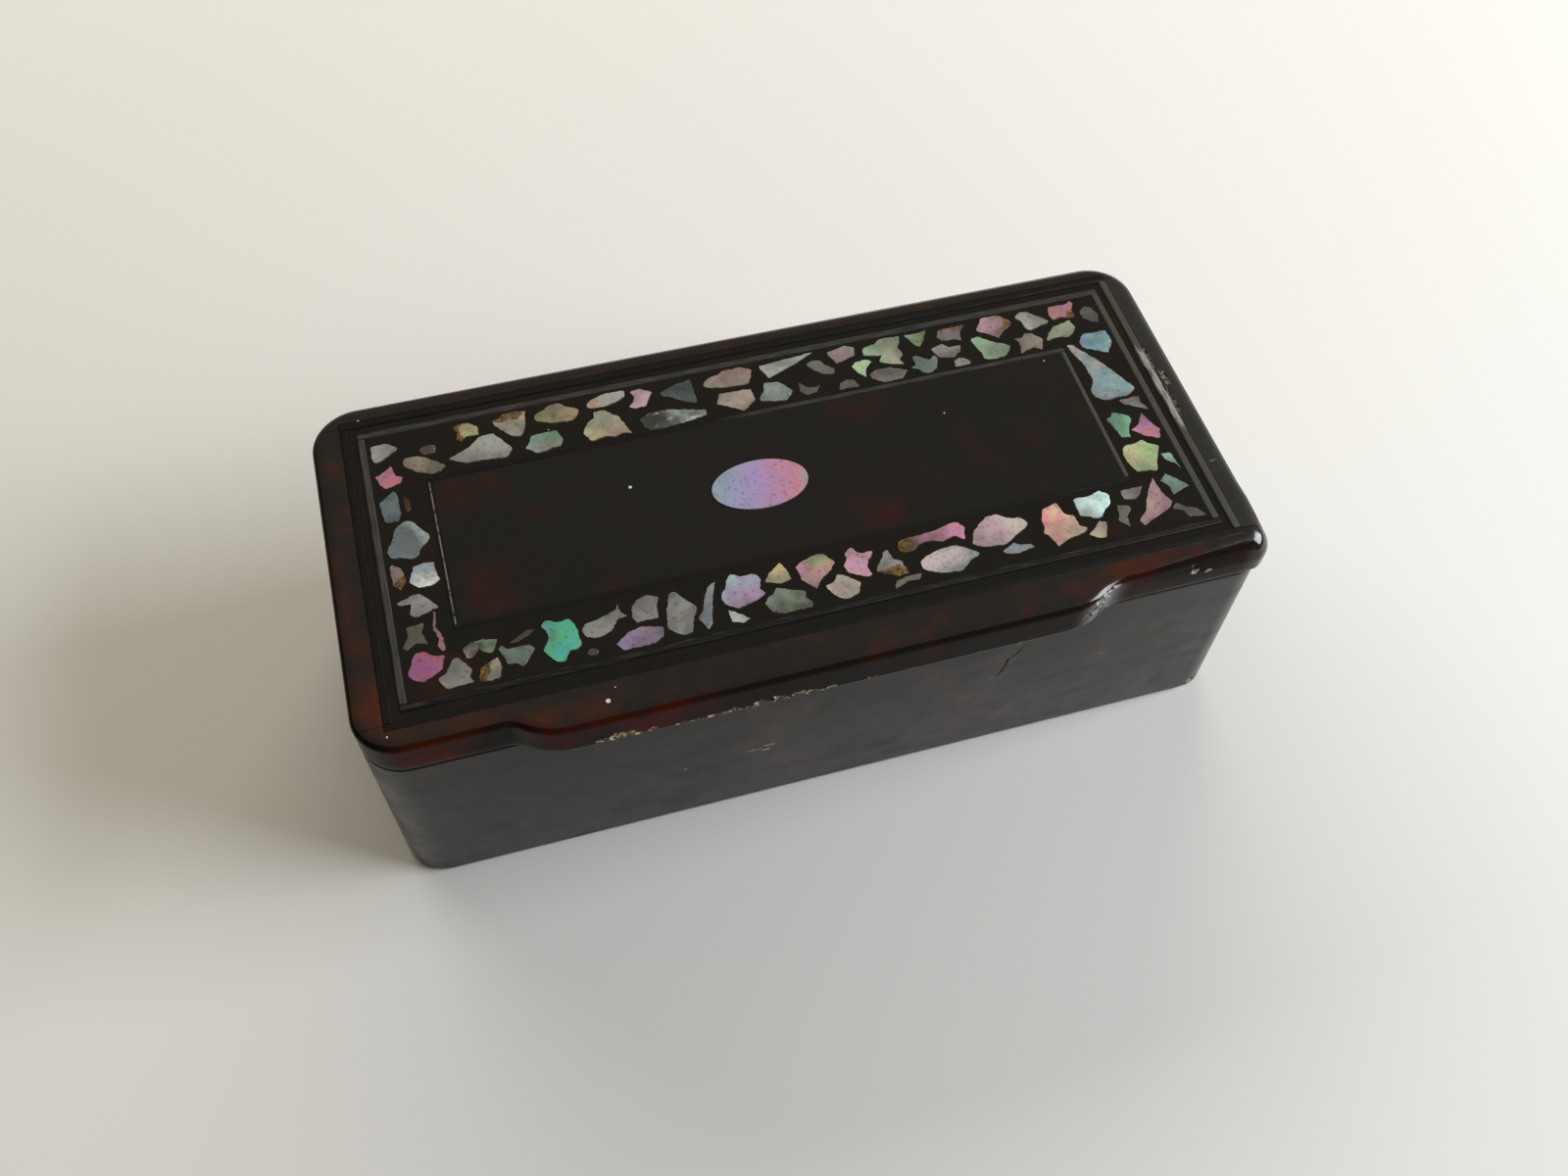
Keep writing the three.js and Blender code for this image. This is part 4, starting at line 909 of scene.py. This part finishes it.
# Flakes pressed into the coat: outline as x, y, x, y and so on, and then the same.
PRESSED_FLAKES = {
    "r_02": ([-33.9, 12.6, -33.4, 12.9, -32.6, 13, -32.1, 12.7, -32.3, 11.9, -32.9, 11.8,
        -33.5, 11.9], "#4c4d46 #55554c"),
    "r_03": ([-35.4, 11.9, -34.1, 11.9, -33.2, 11.5, -31.5, 10, -32.2, 9.4, -33.2, 9.4, -34.3, 9.9,
        -35.6, 11], "#7d7664 #736b5a", -30),
    "r_04": ([-30.2, 14.6, -29.5, 14.9, -28.6, 14.8, -27.7, 14, -27.8, 13, -29, 13.1, -29.7, 12.6,
        -30.1, 13, -29.8, 13.8], "#a69d74 #a39b70", 0, 180, 0.3),
    "r_10": ([-12.2, 14.6, -11.2, 14.8, -9.9, 14.1, -10.6, 13, -10.9, 12.4, -12.1, 12.3,
        -12.7, 12.7, -12, 13.4, -11.9, 14], "#b2959a #a98c90"),
    "r_12": ([-9.3, 13.7, -7.3, 14.5, -5.8, 14.7, -5.8, 11.6, -6.4, 11.6, -8.9, 13.2],
        "#4d524d #454a47"),
    "r_13": ([-11.9, 10.9, -10.9, 11.4, -8.8, 11.4, -7.1, 10.9, -5.2, 10.4, -5.3, 9.7, -7.4, 9.3,
        -10, 9.2, -11.2, 9.2, -11.7, 9.9], "#40413c #55564f #8e8f89"),
    "r_18": ([6.2, 13.6, 7, 14, 7.8, 13.8, 8.1, 13.1, 9, 12.3, 8.7, 11.6, 7.7, 11.8, 6.8, 12.6],
        "#737366 #6a6a60"),
    "r_19": ([4.8, 11.5, 5.5, 10.6, 6.3, 10.4, 6.9, 10.6, 6.3, 9.8, 5.2, 9.6, 4.7, 10.2],
        "#464641 #50504a"),
    "r_20": ([8.7, 14.6, 10.8, 15.1, 11.8, 14.6, 11.5, 13.5, 9.4, 12.9, 9, 13.8], "#a08a80 #96887f"),
    "r_22": ([10.7, 12.1, 11.2, 12.6, 12.5, 12.7, 13, 12.3, 12.1, 11.4, 11.8, 10.3, 11, 11.2],
        "#94a783 #8aa082"),
    "r_23": ([8.6, 9.4, 9, 10.3, 9.7, 10.5, 10.4, 10.4, 10.8, 9.4], "#5f5f52 #68685c"),
    "r_24": ([12.2, 10.7, 13, 11.1, 14.6, 11, 16.2, 10.2, 15.4, 9.3, 13.4, 9.2, 12.3, 10],
        "#756c5f #6c6558"),
    "r_25": ([17.3, 14.9, 18.3, 14.8, 19.8, 15, 19.2, 13.8, 18.5, 12.9, 18.1, 13.1],
        "#7e927e #6c785c #555a43"),
    "r_26": ([16.6, 10.3, 17.3, 10.7, 17.2, 11.7, 17.6, 11.9, 18.9, 10.9, 19.5, 11.5, 19.8, 11,
        19.2, 9.6, 18.2, 9.2, 17.6, 9.5, 17.3, 10.1], "#6c7a72 #758177"),
    "r_27": ([20.6, 13.6, 21, 14.7, 24, 14.7, 23.2, 13.8, 23, 12.6, 22.2, 13, 20.9, 13.1],
        "#857c7f #7c7174 #60544a", 90, 95, 0.2),
    "r_28": ([19.4, 12.3, 20.8, 12.7, 21.5, 12.1, 22.7, 12.1, 22.4, 11.3, 21.6, 10.7, 20.8, 10.7,
        19.9, 11.1], "#75756d #6b6b64"),
    "r_29": ([21.1, 9.3, 21.3, 10.1, 21.9, 10.5, 22.5, 10.3, 23, 9.6, 22.8, 9.3], "#9e9b89 #918e7e"),
    "r_33": ([28.4, 11.5, 29.2, 11.4, 29.9, 11.9, 30.6, 11.7, 31.4, 10.7, 30.8, 9.2, 29.9, 9.8,
        28.4, 9.3, 28.8, 10.7], "#5e5b56 #7d7369"),
    "r_35": ([31.7, 10.3, 32.1, 11.1, 33, 12, 35.1, 12.5, 35.4, 11.5, 34.9, 10.7, 34, 10.2,
        33.2, 10.5], "#7a806d #83886f"),
    "r_36": ([36.5, 13.2, 37.3, 14, 38.1, 13.5, 38.4, 12.5, 38, 11.4, 36.8, 12.1],
        "#4c4b47 #454440"),
    "e_39": ([35.8, 0.8, 38, 0.8, 37.9, 0, 38.4, -1.1, 37.4, -0.6, 36.2, 0.1], "#72716d #66655f"),
    "e_40": ([33.6, -1.2, 34.2, -1, 34.5, -0.5, 36, -1.3, 36.1, -2, 35.4, -2.8, 35.1, -4,
        34.2, -3.9, 33.9, -2.4], "#649077 #6c957b"),
    "e_41": ([35.5, -3.2, 36.5, -2.7, 37.4, -1.3, 37.9, -2.9, 38.4, -3.8, 37.9, -4.9, 36.6, -4.3],
        "#a9748a #a27086"),
    "e_43": ([37.1, -6.8, 38.1, -6.8, 38.4, -9, 38.1, -8.3, 37.4, -7.7], "#839b8a #7a9080"),
    "e_44": ([35.7, -9.9, 36.6, -9.1, 38.3, -11.1, 37.3, -11.4, 36.3, -11.8, 36.3, -10.7],
        "#6f897a #7b9184"),
    "e_46": ([35.5, -13.3, 36.1, -12.7, 37, -13.5, 37.9, -13.8, 38.4, -14.9, 36.7, -14.6,
        36.4, -13.8], "#676664 #5c5b58"),
    "f_47": ([31.4, -10, 33.7, -10, 33.1, -10.9, 32.4, -11.3, 31.3, -11.1], "#827f77 #75726a"),
    "f_48": ([30.4, -11.5, 31.5, -11.9, 31.6, -12.3, 30.9, -12.9, 30.7, -14.3, 29.8, -13.4,
        30.2, -12.4], "#6a665f #5b5750"),
    "f_50": ([28, -12.8, 28.7, -13.1, 28.4, -14, 27.9, -14.9, 27.3, -14.8, 26.4, -14.1,
        27.2, -13.6], "#aea48c #9c927c"),
    "f_53": ([17.7, -13.8, 18.5, -13.4, 19.1, -13.1, 19.6, -13.5, 20.5, -13.6, 20.9, -14.1,
        19, -14.4, 18, -14.2], "#808687 #767b7c"),
    "f_56": ([5.7, -12.3, 6.3, -11.6, 6.7, -10.9, 7.2, -10.7, 7.4, -11.9, 8.1, -12.3, 8.4, -13.8,
        7.3, -13.9, 5.4, -12.9], "#5c5244 #8a8882 #9b979b", 90, -90, 0.25),
    "f_57": ([6.5, -15.1, 7, -14.3, 8.1, -14.1, 9.5, -14.1, 9, -14.8, 7.9, -14.6, 7.2, -15],
        "#6b6455 #7a7364"),
    "f_59": ([0.3, -13.2, 1.3, -12.8, 1.7, -12.2, 2.4, -12.4, 3.1, -13.1, 3.7, -13.6, 3.2, -14.7,
        2.2, -15.1, 1.3, -14.9, 0.7, -14.2], "#a89c8f #a3988a"),
    "f_60": ([-1.8, -10.4, -1, -9.9, 0.4, -9.5, 1.2, -9.6, 2, -10.8, 1.2, -11.7, 0, -12.5,
        -0.5, -13.3, -1.6, -12.1], "#a27687 #9a8272 #7f8a6a", 60),
    "f_61": ([-5, -11.3, -4.4, -10.4, -3.1, -9.5, -2.6, -10.5, -2.5, -11.6, -3.6, -11.9],
        "#a59d72 #aaa07a"),
    "f_62": ([-4.7, -12.8, -4.2, -12.1, -1.6, -13.2, -1.7, -14, -1.2, -14.6, -1.5, -15, -4.2, -15.1,
        -5.2, -14.6, -5.7, -13.6, -5.3, -13.1], "#4a4c44 #667262 #7f8c77", 90),
    "f_64": ([-9.1, -13.3, -8.4, -13.8, -7.3, -14.8, -8.1, -15.1, -9.1, -14.7], "#9da69a #8f988c"),
    "f_65": ([-9.5, -10, -10.2, -12, -10.8, -14.3, -11.3, -15, -12, -13.5, -11.4, -12.9,
        -10.8, -11.3, -10.3, -10.4], "#767a7a #82868a"),
    "f_67": ([-17.6, -10.7, -17, -10.1, -16, -9.8, -14.9, -10.3, -15.3, -11.1, -15.4, -12.5,
        -17.5, -12.5, -17.8, -11.9], "#7d7976 #85817c"),
    "f_68": ([-19.8, -14.3, -18.5, -13.3, -17.1, -13, -15.2, -13.6, -15.4, -14.5, -16.4, -15.1,
        -19.2, -15.1], "#84728c #806c7a #796e7b"),
    "f_69": ([-22.5, -12.2, -22.2, -11.5, -20.3, -11.1, -19.1, -10.6, -18.8, -10.1, -18.7, -10.9,
        -18.2, -11.6, -19.1, -11.7, -19.9, -12.8, -21.1, -13.2, -22.2, -12.9], "#7a7872 #717069"),
    "f_70": ([-22.6, -14.5, -22, -14.1, -21.4, -14.4, -21.7, -14.9, -22.3, -14.9],
        "#45473e #4c4e44"),
    "f_72": ([-30.2, -12, -29.8, -11.7, -29.3, -12.2, -27.4, -12.2, -26.9, -12.8, -28.3, -14.5,
        -28.8, -13.9, -29.6, -13.8, -29.8, -12.9], "#4a5a4c #647263 #46584f", 60),
    "f_73": ([-29.1, -11.7, -28.3, -11.2, -27.3, -10.7, -26.6, -10.8, -27.4, -11.3, -28.4, -11.7],
        "#493f30 #544937"),
    "f_74": ([-33.3, -11.2, -32.5, -10.7, -31.5, -10.6, -30, -10.9, -30.7, -12.3, -31.3, -12.1,
        -31.8, -11.6, -32.4, -12.2, -33, -12.3], "#746b61 #3e3c36 #708469 #76906c"),
    "f_75": ([-32.3, -14.9, -32, -13.6, -31.4, -13.2, -30.3, -12.8, -30.1, -13.9, -30.4, -15,
        -31.3, -15.1], "#7e7b6e #84806f", 0, 170, 0.45),
    "f_76": ([-35.9, -13.7, -35, -13.2, -34.2, -11.9, -33.7, -11.9, -32.7, -13.5, -33, -14.2,
        -32.7, -14.8, -35.2, -15], "#7c7871 #726f68"),
    "w_78": ([-35.2, -6.5, -35, -6.6, -35.2, -8.2, -34.7, -9.6, -34.7, -10.9, -35, -10.9,
        -35.4, -10.3, -35.1, -9.6, -35.5, -8.3], "#93656a #81635f", 90),
    "w_79": ([-37.8, -7.6, -36.2, -7.5, -36.5, -8.5, -36.1, -9.9, -37.1, -9.5, -38.1, -10.1,
        -38.4, -9.7, -37.8, -8.6], "#60604f #6c6b5b"),
    "w_80": ([-38.3, -4.8, -37, -4.3, -36.1, -4.2, -34.6, -6.1, -36.8, -6.8, -37.3, -6.3, -37, -5.2,
        -38, -5.2], "#8a8985 #999a98", 0, 230, 0.2),
    "w_81": ([-36.3, -1.1, -35.3, -0.9, -34.3, -1, -34.3, -2, -34, -3.2, -34.8, -3.6, -36.1, -3.6,
        -36.9, -2.8], "#c1bcb1 #9aa29c #88939a", 90),
    "w_82": ([-38.4, -0.6, -38.1, -0.4, -37.3, -1.1, -37.1, -2.4, -37.7, -3.5, -38.3, -2.8,
        -38.4, -1.6], "#807068 #756d62", 0, -60, 0.3),
    "w_84": ([-36.9, 8.2, -36.6, 7.8, -36.5, 5.4, -36.8, 4.6, -37.6, 4.4, -38.1, 4.7, -38.4, 7],
        "#53606a #5e6b65 #5e7d78", 90),
    "w_85": ([-38.4, 10.4, -38, 10.4, -36.7, 11.3, -36.4, 10, -35.7, 9.7, -36.1, 9, -37.5, 8.6,
        -38, 9.1], "#9f6a7a #a96c82"),
    "w_86": ([-36, 7.3, -35.5, 6.5, -35.5, 5.6, -35.9, 5.3, -36.1, 6.2], "#3d2a1c #46301f"),
}


SHORTEST_RUN = 0.8
# Thickness of the film that gives the shell its sheen, in nanometres.
FILM_THINNEST, FILM_STEP, FILM_KINDS = 300, 40, 7
CLOUDY = {"nacre_r_13": 0.8}
PRESSED_SEEDS = 40
FLAKE_BEVEL, FLAKE_ROUNDING = 0.05, 0.15


def nacre_for(name, points, colors, seed, turn=0, *brown, uneven=1.0):
    """Nacre for a flake round these points, with its colours run across the whole of it."""
    xs, ys = [p[0] for p in points], [p[1] for p in points]
    centre = ((min(xs) + max(xs)) / 2, (min(ys) + max(ys)) / 2)
    c, s = math.cos(math.radians(turn)), math.sin(math.radians(turn))
    size = max(abs(c) * (max(xs) - min(xs)) + abs(s) * (max(ys) - min(ys)), SHORTEST_RUN)
    film = FILM_THINNEST + FILM_STEP * (seed % FILM_KINDS)
    return shell(name, centre, size, colors.split(), turn, brown, film, seed,
                 CLOUDY.get(name, 0.0), uneven)


def flat_box(node):
    """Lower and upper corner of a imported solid, seen from above, in millimetres."""
    return [(corner.x / MM, corner.y / MM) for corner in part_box(node)]


def add_flake(name, outline, surface, bottom, node=None):
    flake = add_object(name, plate(name, outline, bottom, LID_TOP), surface, EDGE)
    bevel(flake, FLAKE_BEVEL, degrees=70, material=1)
    if node:
        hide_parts(node)
    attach(flake, "lid")


for seed, (key, (colors, *rest)) in enumerate(SOLID_FLAKES.items()):
    node = "chip_" + key
    surface = nacre_for("nacre_" + key, flat_box(node), colors, seed, *rest)
    add_flake("shell_" + key, ragged(top_outline(node)), surface, INLAY_BASE, node)

for seed, (key, (outline, colors, *rest)) in enumerate(PRESSED_FLAKES.items()):
    points = list(zip(outline[::2], outline[1::2]))
    surface = nacre_for("nacre_" + key, points, colors, seed + PRESSED_SEEDS, *rest)
    add_flake("flake_" + key, ragged(rounded(points, FLAKE_ROUNDING)), surface, PRESSED_BASE)

PLAQUE_COLORS = "#8d9a9a #8c93a8 #9a90b0 #a088ae #b0809c #b87f90 #a59088"
plaque_shell = nacre_for("nacre_plaque", flat_box("oval_plaque"), PLAQUE_COLORS, seed=3,
                         turn=-8, uneven=0.25)
dress("oval_plaque", plaque_shell, RIM, edge=0.16, edge_material=1, segments=3)

# ---------- floor, lights, camera ----------

floor_surface = Surface("plain_floor")
tone = floor_surface.noise(0.01, 2)
floor_surface.set(Base_Color=floor_surface.mix(tone, "#ecebe7", "#e9e8e4"),
                  Roughness=floor_surface.span(tone, 0.3, 0.7, 0.6, 0.7))
floor = add_object("floor", slab("floor", -FLOOR_REACH, FLOOR_REACH, -FLOOR_REACH, FLOOR_REACH,
                                 -FLOOR_THICKNESS, 0), floor_surface.material)


def area_light(name, place, target, width, height, watts, color, in_gloss=True):
    lamp = bpy.data.lights.new(name, "AREA")
    lamp.shape = "RECTANGLE"
    lamp.size, lamp.size_y = width, height
    lamp.energy = watts
    lamp.color = rgb(color)[:3]
    thing = bpy.data.objects.new(name, lamp)
    bpy.context.scene.collection.objects.link(thing)
    thing.visible_glossy = in_gloss
    thing.location = place
    thing.rotation_euler = (Vector(target) - Vector(place)).to_track_quat("-Z", "Y").to_euler()


# Places and sizes of the lamps are in metres.
area_light("window", (0.54, -0.15, 0.31), (0, 0, 0), 0.42, 0.32, 4.9, "#f4f9ff")
area_light("rear", (-0.02, 0.56, 0.3), (0, 0.05, 0), 0.9, 0.3, 3.7, "#fff8ec", in_gloss=False)

world = bpy.data.worlds.new("room")
bpy.context.scene.world = world
world.use_nodes = True
world.node_tree.nodes["Background"].inputs["Color"].default_value = rgb("#b4a892")
world.node_tree.nodes["Background"].inputs["Strength"].default_value = 0.3

view = bpy.data.cameras.new("camera")
view.lens = 33.36
view.sensor_width = 36.0
view.clip_start = 0.005
camera = bpy.data.objects.new("camera", view)
bpy.context.scene.collection.objects.link(camera)
# The camera's place in metres, and its axes.
PLACE = (-0.0258, -0.0829, 0.14012)
RIGHT, UP = Vector((0.96190, -0.27266, 0.01997)), Vector((0.21779, 0.80838, 0.54689))
camera.matrix_world = (Matrix.Translation(PLACE)
                       @ Matrix((RIGHT, UP, RIGHT.cross(UP))).transposed().to_4x4())
bpy.context.scene.camera = camera
bpy.context.scene.view_settings.view_transform = "Standard"
